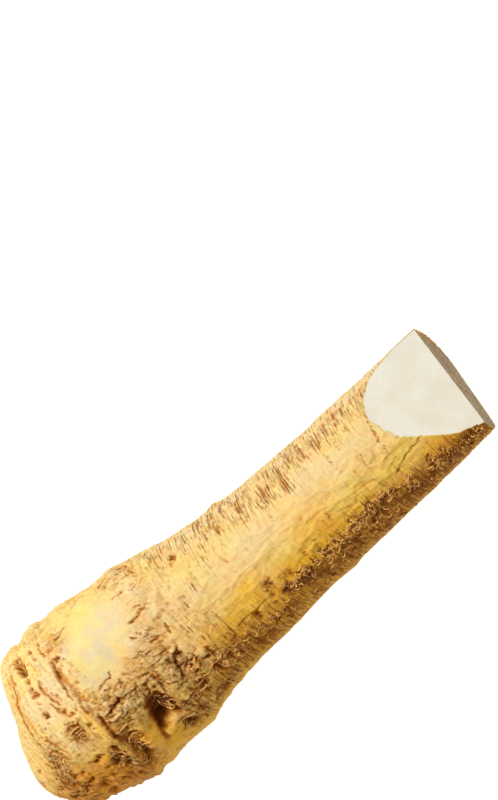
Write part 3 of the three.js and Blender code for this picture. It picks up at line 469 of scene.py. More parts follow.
        ([(68.6, 75.3), (69.8, 76), (71, 78.5), (72.2, 79), (74, 77.8)], 0.7, 0.9, 1.0),
        ([(65, 85.3), (66.5, 86), (67.5, 88.5), (69.4, 88.4)], 0.6, 0.8, 0.95),
        ([(69.3, 92.3), (71, 93.5), (73, 94.7)], 0.6, 0.8, 1.0),
        ([(71.6, 66.2), (73.8, 65.5), (75.5, 64)], 1.0, 1.0, 1.0),
        ([(75.5, 64), (77.5, 63.5), (78.8, 62.5), (80.4, 63.6)], 0.6, 0.8, 0.95),
        ([(76.2, 99.4), (74.6, 100.4), (73.3, 102), (72.5, 105), (71.8, 109.5), (71.2, 114.4)],
         1.1, 1.3, 1.0),
        ([(77.2, 107.4), (78.6, 111.0), (78.4, 115.6)], 0.6, 0.7, 0.7),
        ([(66.6, 112.2), (68.8, 114.8), (71.6, 116.6)], 0.7, 0.8, 0.7),
        ([(62.0, 126), (65.0, 130), (68.6, 131)], 0.6, 0.7, 0.8),
        ([(63.0, 138), (66.2, 140), (69.6, 139)], 0.6, 0.7, 0.8),
        ([(67.2, 23), (69.4, 20), (71.8, 18), (74.6, 14)], 0.7, 0.8, 0.7),
        ([(68.4, 29), (70.8, 26), (76.2, 22)], 0.6, 0.7, 0.7),
        ([(72.4, 34), (75.0, 31), (78.0, 30)], 0.6, 0.6, 0.5),
        ([(77.6, 46), (79.8, 43), (82.6, 42)], 0.6, 0.5, 0.5),
    ],
    # crumpled zones: x, angle, half length, half way round, strength
    "folded": [
        (49, 98, 7, 6, 0.5), (57, 104, 6, 5, 0.5), (44, 106, 4, 4, 0.4), (62, 110, 5, 4, 0.4),
        (64, 94, 7, 6, 0.2), (19, 98, 6, 7, 0.4), (36, 120, 4, 6, 0.3), (64, 140, 6, 6, 0.4),
        (72, 24, 6, 6, 0.15), (12, 128, 6, 9, 0.5), (70, 122, 7, 6, 0.3),
    ],
    # fields of flaking bark: x, angle, half length, half way round, strength
    "flaking": [
        (54, 97, 8, 6, 0.5), (67, 95, 9, 8, 0.6), (72, 84, 6, 7, 0.4), (74, 24, 8, 8, 0.2),
        (78, 44, 6, 5, 0.2), (43, 52, 3, 8, 0.4), (17, 96, 8, 8, 0.3), (60, 112, 7, 5, 0.6),
        (70, 128, 9, 8, 0.6), (38, 128, 6, 8, 0.4), (45, 45, 4, 9, 0.6), (45, 70, 2.5, 8, 0.45),
        (46, 92, 5, 5, 0.6), (84, 128, 8, 8, 0.7), (12, 130, 8, 14, 0.3), (16, 35, 10, 16, 0.2),
        (64, 146, 10, 8, 0.5), (80, 98, 6, 5, 0.3),
    ],
}

underside = {"seed": 3, "pits": 46, "tornScars": 15, "cracks": 40, "streaks": 60}


def scatterUnderneath():
    # the hidden side gets marks of the same kinds, at seeded places
    random = np.random.default_rng(underside["seed"])
    for _ in range(underside["pits"]):
        x, angle = random.uniform(10, 200), random.uniform(188, 350)
        size = random.uniform(0.5, 1.6, 2)
        barkMarks["pits"].append((x, angle, *size, 0.6, random.uniform(0.5, 1)))
    for _ in range(underside["tornScars"]):
        x, angle = random.uniform(12, 120), random.uniform(192, 346)
        size = random.uniform(1.4, 3.6, 2)
        barkMarks["tornScars"].append((x, angle, *size, 0.6, 0.9, *random.uniform(-5, 5, 2)))
        barkMarks["flaking"].append((x, angle, *random.uniform(5, 10, 2), 0.8))
    for _ in range(underside["cracks"]):
        x, angle = random.uniform(14, 96), random.uniform(188, 350)
        steps = np.cumsum(random.uniform((1, -4), (3, 4), (4, 2)), 0)
        points = [(x + along, angle + around) for along, around in steps]
        barkMarks["cracks"].append((points, 0.42, 0.5, random.uniform(0.5, 0.9)))
    for _ in range(underside["streaks"]):
        x, angle = random.uniform(84, 204), random.uniform(182, 345)
        end = angle + random.uniform(8, 26)
        barkMarks["streaks"].append((x, angle, end, random.uniform(0.7, 1.4), random.uniform(0.5, 1)))


scatterUnderneath()
print("marks on the bark:", {kind: len(marks) for kind, marks in barkMarks.items()})


def spotOn(x, angle, radius, spot, power=2.6):
    # exp(-(u^2 + v^2)^(power / 2)), u and v the distances along and round over their half sizes
    place, side, halfLength, halfRound = spot
    where = np.flatnonzero(np.abs(x - place) < 2.5 * halfLength)
    along = (x[where] - place) / halfLength
    around = np.radians(turned(angle[where], side)) * radius[where] / halfRound
    return where, np.exp(-((along ** 2 + around ** 2) ** (power / 2)))


def strokeOn(x, angle, radius, points, halfWidth):
    # 1 on the line through the points, falling as a bell with the distance from it; and that distance
    # over the half width, positive on the line's side towards the shaft's end and the -Y side
    places = [point[0] for point in points]
    where = np.flatnonzero((x > min(places) - 3 * halfWidth) & (x < max(places) + 3 * halfWidth))
    x, angle, scale = x[where], angle[where], np.radians(1) * radius[where]
    nearest, offset = np.full(len(where), 1e9), np.zeros(len(where))
    for (xa, sideA), (xb, sideB) in zip(points[:-1], points[1:]):
        along, around = x - xa, turned(angle, sideA) * scale
        runX, runRound = xb - xa, (sideB - sideA) * scale
        t = np.clip((along * runX + around * runRound) / (runX ** 2 + runRound ** 2), 0, 1)
        stepX, stepRound = along - t * runX, around - t * runRound
        gap = stepX ** 2 + stepRound ** 2
        side = np.sign(stepX * runRound - stepRound * runX) * np.sign(runRound - runX)
        offset = np.where(gap < nearest, side * np.sqrt(gap) / halfWidth, offset)
        nearest = np.minimum(nearest, gap)
    return where, np.exp(-nearest / halfWidth ** 2), offset


barkZones = {
    "crownEnds": (34, 44), "shaftStarts": (78, 96), # x
    "upper": (78, 34), "under": (270, 72),          # angle, half angle
    "nearSide": (24, 30),                           # the +Y side of the shaft, ringed with streaks
    "hairSide": (148, 26),                          # the -Y side, where the fine roots grow
    "lowStrip": (150, 24), "wrinkledTop": (96, 26),
    "smoothHead": (57, 13.5, 60, 32),               # x, half length, angle, half angle
    "tipEase": 8,                                   # radius below which all relief fades out
}
barkHeights = {                                     # mm
    "broad": 0.5, "middling": 0.22, "lowCrown": 0.55, "crownRings": 0.33, "lamellae": 0.16,
    "softWrinkles": 0.3, "longWrinkles": 0.5, "shortWrinkles": 0.34, "flakes": 0.6, "flakeEdges": 0.6,
    "crumples": 1.2, "curledLayers": 0.45, "strands": 0.25, "hollowFloor": 0.5, "tufts": 0.5,
    "lowStripes": 0.25,
}


def layOutBark(x, angle):
    # the plain skin: r = hypot(half width cos a, half height sin a) from the axis; ragged copies of x
    # and the angle, so that no mark has a clean outline; and the zones, each a share from 0 to 1
    shape = np.broadcast(x, angle).shape
    x, angle = (np.broadcast_to(v, shape).astype(float).ravel() for v in (x, angle))
    bark = SimpleNamespace(x=x, angle=angle)
    bark.axisY, bark.axisZ, halfWidth, halfHeight = sectionAt(x)
    bark.cosine, bark.sine = np.cos(np.radians(angle)), np.sin(np.radians(angle))
    plain = np.hypot(halfWidth * bark.cosine, halfHeight * bark.sine)
    place = np.stack([x, bark.axisY + plain * bark.cosine, bark.axisZ + plain * bark.sine], -1)
    bark.plain, bark.place, bark.radius = plain, place, np.maximum(plain, 4)

    toDegrees = 57.3 / bark.radius                  # degrees round the root in a millimetre
    bark.swayX = 0.6 * layeredNoise(place / 2.0, 21, 3)
    bark.swayRound = 0.6 * layeredNoise(place / 2.0, 27, 3) * toDegrees
    bark.wideX, bark.wideRound = 1.6 * noise(place / 9, 33), 1.6 * noise(place / 9, 37) * toDegrees
    bark.markX, bark.markAngle = x + bark.swayX, angle + bark.swayRound
    bark.looseX, bark.looseAngle = bark.markX + bark.wideX, bark.markAngle + bark.wideRound

    def sideShare(name):
        centre, halfAngle = barkZones[name]
        return bell(turned(angle, centre), halfAngle)

    bark.crown = 1 - smoothStep(*barkZones["crownEnds"], x)
    bark.shaft = smoothStep(*barkZones["shaftStarts"], x)
    bark.neck = (1 - bark.crown) * (1 - bark.shaft)
    bark.upper, bark.under = sideShare("upper"), sideShare("under")
    bark.nearSide, bark.hairSide = sideShare("nearSide"), sideShare("hairSide")
    bark.wrinkled = bark.shaft * sideShare("wrinkledTop")
    headX, halfLength, headAngle, halfAngle = barkZones["smoothHead"]
    fromHead = -((turned(angle + 2 * bark.wideRound, headAngle) / halfAngle) ** 4)
    smoothArea = 0.92 * np.exp(fromHead - ((x + 2 * bark.wideX - headX) / halfLength) ** 4)
    bark.smoothArea = np.maximum(smoothArea, 0.6 * bell(turned(angle, 72), 30) * bell(x - 30, 8))
    return bark, shape


def growRelief(bark):
    # the main forms, unevenness, rings round the crown, lamellae round the shaft's streaked and hairy
    # sides, and wrinkles along its top: each is height x zone x noise stretched its own way
    x, angle, place = bark.x, bark.angle, bark.place
    crown, neck, shaft = bark.crown, bark.neck, bark.shaft
    uneven = 1 - 0.75 * bark.smoothArea
    height = mainForms(x + 0.7 * bark.wideX, angle)
    broad = barkHeights["broad"] + 0.25 * crown + 0.15 * neck - 0.2 * shaft
    height += broad * layeredNoise(place / 13, 3, 2)
    middling = barkHeights["middling"] + 0.3 * crown + 0.16 * neck - 0.08 * shaft
    height += middling * uneven * layeredNoise(place / 3.6, 5, 3)
    lowCrown = crown * smoothStep(112, 140, angle) * (1 - smoothStep(200, 230, angle))
    height += barkHeights["lowCrown"] * lowCrown * layeredNoise(place / 3.2, 129, 2)

    patchy = 0.35 + smoothStep(-0.3, 0.4, noise(place / 8, 43))
    bark.ringed = crown * smoothStep(2, 8, x) * uneven * patchy
    ringPlace = place * (0.36, 0.04, 0.04) + 0.35 * noise(place / 7, 45)[:, None]
    height += barkHeights["crownRings"] * bark.ringed * ridges(ringPlace, 41)
    sides = np.clip(bark.nearSide + 0.9 * bark.hairSide + 0.6 * bark.under, 0, 1)
    bark.bands = sides * smoothStep(55, 90, x + 20 * bark.hairSide)
    lamellae = ridges(place * (0.85, 0.08, 0.08), 47)
    height += barkHeights["lamellae"] * (0.12 + bark.bands) * lamellae * smoothStep(50, 70, x)

    soft = layeredNoise(place * (0.075, 0.3, 0.3), 53, 3)
    longCrests = np.clip(ridges(place * (0.07, 0.15, 0.15), 57), 0, 1) ** 3
    shortCrests = np.clip(ridges(place * (0.17, 0.24, 0.24), 123), 0, 1) ** 3
    height += barkHeights["softWrinkles"] * bark.wrinkled * soft
    height += barkHeights["longWrinkles"] * bark.wrinkled * longCrests
    height += barkHeights["shortWrinkles"] * bark.wrinkled * shortCrests
    bark.height = height
    bark.dark, bark.pale, bark.torn, bark.streaked = np.zeros((4, len(x)))
    bark.raised = []


def strongest(bark, kind, start, power, scale=None):
    # the largest of the start value and each mark's strength x spot
    share = start
    for spot in barkMarks[kind]:
        where, mask = spotOn(bark.looseX, bark.looseAngle, bark.radius, spot[:4], power)
        share[where] = np.maximum(share[where], (scale or spot[4]) * mask)
    return share


def flakeField(at):
    # five layers of noise stretched along the root, and a little fine noise
    return layeredNoise(at * (0.12, 0.19, 0.19), 61, 5) + 0.2 * noise(at / (2.6, 1.2, 1.2), 67)


def flakeAndCrumple(bark):
    # Flakes of bark lie where a ragged field is positive, on a rough ground. A flake lifts at the edge
    # where its field falls away round the root, and lies flat at the other. Crumpled bark is another
    # field's distance from zero, which makes round folds with sharp creases between them.
    angle, place = bark.angle, bark.place
    calm = strongest(bark, "calm", np.zeros(len(bark.x)), 2.6, 0.85)
    onNeck = 0.22 + 0.36 * pastTop(angle, 62, 88) - 0.25 * pastTop(angle, 116, 136)
    flaking = np.maximum(bark.neck * onNeck + 0.12 * bark.crown, 0.5 * bark.under * (1 - 0.6 * bark.shaft))
    flaking = strongest(bark, "flaking", flaking * (1 - bark.smoothArea), 2)
    flaking *= 1 - calm
    field = flakeField(place)
    tangent = np.stack([0 * bark.sine, -bark.sine, bark.cosine], -1)
    drop = smoothStep(0.02, 0.16, field - flakeField(place + 0.8 * tangent + (0.35, 0, 0)))
    flakes = smoothStep(-0.06, 0.1, field)
    flakeEdge = bell(field + 0.04, 0.12) * drop
    ground = 0.4 * layeredNoise(place / (2.0, 1.2, 1.2), 71, 3) * (1.5 - 0.9 * flakes)
    bark.height += flaking * (barkHeights["flakes"] * flakes - 0.3 + ground)
    bark.height -= barkHeights["flakeEdges"] * flaking * flakeEdge
    # painted shadow along each flake's lifted edge, on its side turned away from the light
    shaded = 0.95 * smoothStep(0.2, 0.6, flaking) * flakeEdge
    bark.dark += shaded * smoothStep(0.0, 0.4, noise(place / 3.6, 131))
    bark.flaking, bark.flakes, bark.flakeField = flaking, flakes, field

    folded = strongest(bark, "folded", np.zeros(len(bark.x)), 2)
    folded *= 1 - calm
    folds = layeredNoise(place * (0.15, 0.3, 0.3) + 0.45 * noise(place / 5, 109)[:, None], 111, 2)
    bark.height += folded * (barkHeights["crumples"] * np.minimum(np.abs(folds), 0.6) - 0.3)
    # painted shade along the sharp creases between the folds
    bark.dark = np.maximum(bark.dark, 0.7 * smoothStep(0.3, 0.9, folded) * bell(folds, 0.05))
    bark.folded = folded


def drawLines(bark):
    # crests rise as a bell about their line, their pale colours partly painted highlight; a fold is a crest
    # with painted highlight on its lit side and a gutter along its shaded side, darkened as painted shade
    x, angle, radius, height, dark = bark.markX, bark.markAngle, bark.radius, bark.height, bark.dark
    for points, halfLine, rise, name, strength in barkMarks["crests"]:
        where, mask, offset = strokeOn(x, angle, radius, points, halfLine)
        height[where] += rise * mask
        bark.raised.append((where, mask * strength, name))
    for points, halfLine, rise, darkness in barkMarks["folds"]:
        where, mask, offset = strokeOn(x, angle, radius, points, 1.7 * halfLine)
        offset = 2.2 * offset
        broken = mask ** 0.3 * (0.55 + 0.45 * smoothStep(-0.4, 0.2, noise(bark.place[where] / 1.8, 117)))
        height[where] += rise * broken * (0.5 * bell(offset + 0.3, 1.0) - 0.75 * bell(offset - 1.1, 0.7))
        # painted shade in the gutter, then cream painted highlight on the crest's lit side
        dark[where] = np.maximum(dark[where], darkness * broken * bell(offset - 1.1, 0.6))
        bark.raised.append((where, 0.4 * bell(offset + 0.4, 0.7) * broken, "cream"))


def pitAndTear(bark):
    # pits sink as spots; a torn scar sinks too, and its layers of bark are cosine ripples about a centre
    place, radius, height, dark = bark.place, bark.radius, bark.height, bark.dark
    crumbs = smoothStep(-0.5, 0.1, noise(place / 0.9, 73))
    for *spot, depth, darkness in barkMarks["pits"]:
        where, mask = spotOn(bark.markX, bark.markAngle, radius, spot)
        height[where] -= 1.5 * depth * mask
        dark[where] = np.maximum(dark[where], 0.9 * darkness * mask * crumbs[where])
    scarX, scarAngle = bark.markX + 0.3 * bark.wideX, bark.markAngle + 0.3 * bark.wideRound
    for *spot, depth, darkness, stepX, stepRound in barkMarks["tornScars"]:
        where, mask = spotOn(scarX, scarAngle, radius, spot)
        along = bark.markX[where] - spot[0] - stepX
        around = np.radians(turned(bark.markAngle[where], spot[1])) * radius[where] - stepRound
        layers = np.cos(3.6 * np.hypot(along, around) + 3.2 * noise(place[where] / 2.1, 79))
        layers = 0.6 * layers + 0.7 * noise(place[where] / 1.1, 81)
        height[where] += mask * (barkHeights["curledLayers"] * layers - 1.3 * depth)
        bark.torn[where] = np.maximum(bark.torn[where], mask)
        dark[where] = np.maximum(dark[where], darkness * mask * np.clip(0.55 - 0.7 * layers, 0, 1))
        bark.pale[where] = np.maximum(bark.pale[where], mask * smoothStep(0.2, 0.9, layers))


def crackAndStreak(bark):
    # cracks are broken strokes with one raised lip; streaks are strokes filled with fine strands
    place, height, dark, streaked = bark.place, bark.height, bark.dark, bark.streaked
    gaps = 0.65 + 0.35 * smoothStep(-0.4, 0.3, noise(place / 2.4, 83))
    for points, halfLine, depth, darkness in barkMarks["cracks"]:
        where, mask, offset = strokeOn(bark.markX, bark.markAngle, bark.radius, points, halfLine)
        mask = mask * gaps[where]
        height[where] += depth * (0.4 * bell(offset + 1.6, 1.0) - mask)
        # dark along the line: the crack's brown, and painted shade where it is a crease
        dark[where] = np.maximum(dark[where], darkness * mask)
    streakX, streakAngle = bark.x + 2.2 * bark.swayX, bark.angle + 2 * bark.swayRound
    for along, start, end, halfLine, darkness in barkMarks["streaks"]:
        line = [(along, start), (along + 0.4, end)]
        where, mask, offset = strokeOn(streakX, streakAngle, bark.radius, line, halfLine)
        streaked[where] = np.maximum(streaked[where], darkness * mask)
    strands = layeredNoise(place * (1.25, 0.14, 0.14), 89, 2)
    height += barkHeights["strands"] * streaked * strands - 0.12 * streaked
    bark.dark = np.maximum(dark, 0.4 * streaked * smoothStep(0.0, -0.45, strands))


def sinkHollow(bark):
    # a deep hollow with a steep wall towards the top, and its floor rising away from it; painted shade
    # darkens it
    height, dark = bark.height, bark.dark
    hollowX, hollowAngle = bark.markX + 0.4 * bark.wideX, bark.markAngle + 0.4 * bark.wideRound
    for *spot, depth, shade in barkMarks["hollow"]:
        where, mask = spotOn(hollowX, hollowAngle, bark.radius, spot, 4)
        floor = barkHeights["hollowFloor"] * layeredNoise(bark.place[where] / 2, 115, 3)
        height[where] += mask * (floor - depth)
        # painted shade in the hollow, set to each part's darkness; 0 leaves the lit wall clear
        dark[where] += mask * (shade - dark[where])


def growHair(bark):
    # The hairy band starts at an edge that wanders along the -Y side, and thins out below it; the low
    # side also has stripes that run round it, dark in their gutters.
    x, angle, place = bark.looseX, bark.looseAngle, bark.place
    edge = np.interp(x, *zip(*barkMarks["hairEdge"]))
    past = angle - edge + 4 * noise(place * (0.2, 0.02, 0.02), 97)
    thinning = 1 - 0.75 * smoothStep(12, 26, past)
    hairy = smoothStep(113, 119, x) * smoothStep(-4, 4, past) * thinning * (bark.angle < 230)
    hairy *= 0.4 + 0.6 * smoothStep(-0.25, 0.25, noise(place * (0.16, 0.25, 0.25), 99))
    lowHair = smoothStep(84, 92, x) * (1 - 0.85 * bell(x - 116, 12)) * bell(turned(angle, 150), 20)
    hairy = np.maximum(hairy, 0.4 * lowHair)
    tufts = ridges(place / (1.4, 3.2, 3.2), 101)
    bark.height += barkHeights["tufts"] * hairy * tufts - 0.25 * hairy
    between = smoothStep(0.35, -0.25, tufts + 0.5 * noise(place / 1.1, 107))
    bark.dark = np.maximum(bark.dark, 0.9 * hairy * between)
    bark.hairy = hairy
    centre, halfAngle = barkZones["lowStrip"]
    bark.lowStrip = smoothStep(56, 74, x) * bell(turned(angle, centre), halfAngle)
    bark.stripes = layeredNoise(place * (0.9, 0.13, 0.13), 133, 3) + 0.4 * noise(place / 7, 135)
    bark.height -= barkHeights["lowStripes"] * bark.lowStrip * bark.stripes


def barkRelief(x, angle):
    # points at (plain radius + faded relief) from the axis, cut back at the flat side, and the masks
    # that the colours take
    bark, shape = layOutBark(x, angle)
    growRelief(bark)
    flakeAndCrumple(bark)
    drawLines(bark)
    pitAndTear(bark)
    crackAndStreak(bark)
    sinkHollow(bark)
    growHair(bark)
    bark.relief = np.minimum(bark.plain / barkZones["tipEase"], 1) * bark.height
    distance = flattened(bark.plain + bark.relief, bark.x, bark.angle)
    points = [bark.x, bark.axisY + distance * bark.cosine, bark.axisZ + distance * bark.sine]
    for name, values in vars(bark).items():
        if name != "raised":
            setattr(bark, name, values.reshape(shape + values.shape[1:]))
    return np.stack(points, -1).reshape(shape + (3,)), bark


def skinPoints(x, angle):
    # the points without the masks
    return barkRelief(x, angle)[0]


# The two cuts, as a point and an outward normal each.
endY, endZ = sectionAt(np.array(rootShape["length"]))[:2]
endMiddle = np.array([rootShape["length"], endY, endZ])
endTurn = math.radians(rootShape["endTurn"])
endNormal = np.array([math.cos(endTurn), -math.sin(endTurn), 0])
chordMiddle = endMiddle + (0, 0, rootShape["slantHeight"])
slantNormal = unit(np.array([
    math.tan(math.radians(rootShape["slant"])), math.tan(math.radians(rootShape["slantTilt"])), 1]))


def outsideCuts(points):
    # how far each point lies beyond the end cut and beyond the slanted cut
    return (points - endMiddle) @ endNormal, (points - chordMiddle) @ slantNormal


def endPlaces(angle):
    # halve the stretch that holds the cut until it is found
    low, high = (np.full(angle.shape, limit) for limit in skinMesh["cutsBetween"])
    for _ in range(skinMesh["halvings"]):
        middle = (low + high) / 2
        outside = np.maximum(*outsideCuts(skinPoints(middle, angle))) > 0
        low, high = np.where(outside, low, middle), np.where(outside, middle, high)
    return (low + high) / 2


def columnAngles():
    # even steps of a running total that grows faster on top; the nearest columns move to the corners
    # where the two cuts meet the skin
    fine = np.linspace(0, 360, 3601)
    total = fine + math.degrees(skinMesh["crowding"]) * (1 - np.cos(np.radians(fine)))
    steps = np.arange(skinMesh["columns"]) / skinMesh["columns"] * 360
    angles = np.interp(steps, total, fine)
    corners = []
    for low, high in skinMesh["cornersBetween"]:
        for _ in range(4):
            tried = np.linspace(low, high, 25)
            flat, slanted = outsideCuts(skinPoints(endPlaces(tried), tried))
            change = int(np.argmax(np.diff(slanted > flat)))
            low, high = tried[change], tried[change + 1]
        corners.append(low % 360)
    marks = [int(np.abs(turned(angles, corner)).argmin()) for corner in corners]
    angles[marks] = corners
    return angles, marks


def rowPlaces():
    # rows crowd towards the tip's pole, and lie closer over the crown than along the shaft
    count = int(skinMesh["rows"] * skinMesh["crownRows"])
    t = np.arange(1, count + 1) / count
    crownRows = skinMesh["crownEnd"] * (t + skinMesh["tipCrowding"] * (t ** 2 - t))
    shaftRows = np.linspace(skinMesh["crownEnd"], rootShape["length"], skinMesh["rows"] - count + 1)[1:]
    return np.concatenate([crownRows, shaftRows])


angles, cornerColumns = columnAngles()
ends = endPlaces(angles)
rows = rowPlaces()
stretch = np.clip((rows - skinMesh["crownEnd"]) / (rootShape["length"] - skinMesh["crownEnd"]), 0, 1)
lipHeight, lipAngle, lipReach = skinMesh["lip"]
ragged = 0.7 + 0.4 * np.sin(angles * 1.9) * np.sin(angles * 0.83)
lip = lipHeight * bell(turned(angles, lipAngle), lipReach) * ragged
gridX = rows[:, None] + stretch[:, None] * (ends + lip - rootShape["length"])[None, :]
gridAngle = np.broadcast_to(angles, gridX.shape)
skin, bark = barkRelief(gridX, gridAngle)
print("skin grid", skin.shape, "corners at", [round(float(angles[c]), 1) for c in cornerColumns])

# The CAD solid's tip gives the step from these coordinates to the frame's.
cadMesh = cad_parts[node].data
cadVertices = np.empty(len(cadMesh.vertices) * 3)
cadMesh.vertices.foreach_get("co", cadVertices)
cadVertices = cadVertices.reshape(-1, 3)
cadTip = cadVertices[cadVertices[:, 0].argmin()]
tip = np.array([0, *sectionAt(np.array(0.0))[:2]])
frameShift = cadTip - tip / 1000


def toFrame(points):
    # millimetres on the root to metres in the frame, held above the floor
    inFrame = points / 1000 + frameShift
    inFrame[..., 2] = np.maximum(inFrame[..., 2], 0)
    return inFrame


def blurred(grid, reach):
    # mean over a square of neighbours; the columns wrap round, the rows stop at the ends
    total = sum(np.roll(grid, k, axis=1) for k in range(-reach, reach + 1)) / (2 * reach + 1)
    padded = np.pad(total, ((reach, reach), (0, 0)), mode="edge")
    return sum(padded[k:k + len(grid)] for k in range(2 * reach + 1)) / (2 * reach + 1)


def fromSrgb(*colour):
    # 0 to 255 as shown on screen, to the linear light that Blender mixes
    c = np.array(colour, float) / 255
    return np.where(c <= 0.04045, c / 12.92, ((c + 0.055) / 1.055) ** 2.4)


barkColours = {
    "straw": (244, 213, 130), "cream": (235, 217, 180), "ivory": (222, 211, 184), "peach": (249, 211, 142),
    "tan": (240, 186, 106), "gold": (250, 196, 56), "green": (242, 226, 146), "ochre": (238, 172, 62),
    "amber": (226, 132, 34), "rust": (216, 132, 40), "bone": (255, 224, 164), "pale": (246, 223, 156),
    "olive": (236, 210, 104), "grey": (168, 130, 84), "mauve": (188, 126, 70),
    "brown": (146, 80, 20), "deep": (70, 32, 7),
}
barkColours = {name: fromSrgb(*value) for name, value in barkColours.items()}


def mixed(colour, name, amount):
    # colour (1 - amount) + the named colour x amount, the amount held between 0 and 1
    amount = np.clip(amount, 0, 1)[..., None]
    return colour * (1 - amount) + barkColours[name] * amount


def laidOver(colour, layers):
    # each layer is mixed in over the ones before it
    for name, amount in layers:
        colour = mixed(colour, name, amount)
    return colour


def groundColours(bark, lowSide, broad, middling):
    # the bark's colours, by stretch and side of the root, broken up by noise, with painted highlight and
    # shade on some sides
    x, angle, place = bark.looseX, bark.looseAngle, bark.place
    crown, shaft, upSide = bark.crown, bark.shaft, 1 - lowSide
    mottle = layeredNoise(place * (0.16, 0.22, 0.22), 127, 3)
    beforeBelly = 1 - smoothStep(196, 230, angle)
    return laidOver(np.broadcast_to(barkColours["straw"], place.shape), [
        ("cream", 0.4 * bark.upper * (1 + 1.2 * broad)),
        ("peach", 0.5 * smoothStep(0.1, 0.7, noise(place / 11, 113))),
        ("tan", 0.4 * crown * (1 - bark.smoothArea)),
        ("green", 0.4 * crown),
        ("pale", 0.7 * crown * upSide * smoothStep(-0.1, 0.4, broad)),
        ("green", 0.45 * upSide * smoothStep(0.1, 0.5, noise(place / 8, 119))),
        ("peach", 0.7 * shaft * upSide * smoothStep(0.05, 0.4, mottle)),
        ("green", 0.4 * shaft * pastTop(angle, 60, 90) * smoothStep(-0.05, -0.4, mottle)),
        # cream on the shaft's +Y side, which faces the light, and a little on top: painted highlight
        ("cream", 0.6 * shaft * (bell(turned(angle, 22), 20) + 0.3 * bark.upper)),
        ("gold", 0.4 * shaft * bell(turned(angle, 111), 9) * (0.8 + broad)),
        ("gold", 0.55 * lowSide * (1 + 0.8 * broad) * shaft),
        ("ochre", 0.9 * smoothStep(100, 134, angle) * beforeBelly * (1 + 0.3 * broad)),
        # brown on the crown's low side: the bark's brown, darkened further as painted shade
        ("brown", 0.7 * crown * smoothStep(118, 140, angle) * beforeBelly
         * smoothStep(-0.4, 0.3, middling)),
        ("rust", 0.12 * smoothStep(128, 160, angle) * beforeBelly),
        ("ochre", 0.35 * bell(x - 6, 8) * pastTop(angle, 40, 90) + 0.35 * bark.under),
        ("tan", 0.5 * bark.bands * smoothStep(-0.2, 0.5, middling)),
    ])


def flakeColours(colour, bark, lowSide):
    # tan and rust between the flakes, cream on them, peach past the crest as painted shade, gold on the low
    # neck
    share, onFlakes = smoothStep(0.12, 0.5, bark.flaking), smoothStep(0.4, 0.95, bark.flakes)
    pastCrest = pastTop(bark.looseAngle, 84, 108)
    return laidOver(colour, [
        ("tan", share * smoothStep(0.8, 0.2, bark.flakes)),
        ("rust", 0.35 * share * smoothStep(-0.12, -0.45, bark.flakeField)),
        ("cream", 0.9 * share * onFlakes * (1 - pastCrest)),
        # peach past the crest is the cream flakes' warmer copy for their side away from the light: painted
        # shade
        ("peach", 0.8 * share * onFlakes * pastCrest * (1 - lowSide)),
        # gold on the low neck: the bark's gold, and painted light lifting this shaded side
        ("gold", 0.6 * bark.neck * lowSide),
    ])


def markColours(colour, bark):
    # the placed patches, some of them painted light and shade, a mottle on the smooth head, and the raised
    # lines with their painted highlight
    flat = colour.reshape(-1, 3)
    x, angle, radius = bark.looseX.ravel(), bark.looseAngle.ravel(), bark.radius.ravel()
    for *spot, name, strength in barkMarks["patches"]:
        where, mask = spotOn(x, angle, radius, spot)
        flat[where] = mixed(flat[where], name, strength * mask)
    head, place = (bark.smoothArea * bark.neck).ravel(), bark.place.reshape(-1, 3)
    flat = laidOver(flat, [
        ("green", 0.5 * head * smoothStep(0.0, 0.3, noise(place / 5, 137))),
        ("peach", 0.25 * head * smoothStep(0.05, 0.35, noise(place / 3.2, 139))),
    ])
    # the raised lines' colours: pale crests partly painted highlight, the folds' cream painted highlight
    for where, mask, name in bark.raised:
        flat[where] = mixed(flat[where], name, mask)
    return flat.reshape(colour.shape)


def wornColours(colour, bark, rough, middling):
    # browns where the bark is rough and hairy, and stripes of gold and brown on the low side
    fine = layeredNoise(bark.place / (0.9, 1.6, 1.6), 103, 2)
    hairy, lowStrip, stripes = bark.hairy, bark.lowStrip, bark.stripes
    return laidOver(colour, [
        ("tan", 0.45 * rough * smoothStep(0.0, 0.3, middling)),
        ("ochre", 0.25 * rough * smoothStep(0.0, 0.4, noise(bark.place / 2.6, 125))),
        ("rust", 0.2 * rough * smoothStep(0.15, 0.6, fine - 0.4 * bark.flakes)),
        ("ochre", 0.6 * hairy),
        ("brown", 0.45 * hairy * smoothStep(-0.1, 0.4, middling + 0.5 * fine)),
        ("gold", 0.6 * lowStrip * smoothStep(0.0, -0.4, stripes)),
        ("brown", 0.6 * lowStrip * smoothStep(0.1, 0.45, stripes)),
        ("deep", 0.6 * lowStrip * smoothStep(0.35, 0.7, stripes)),
    ])


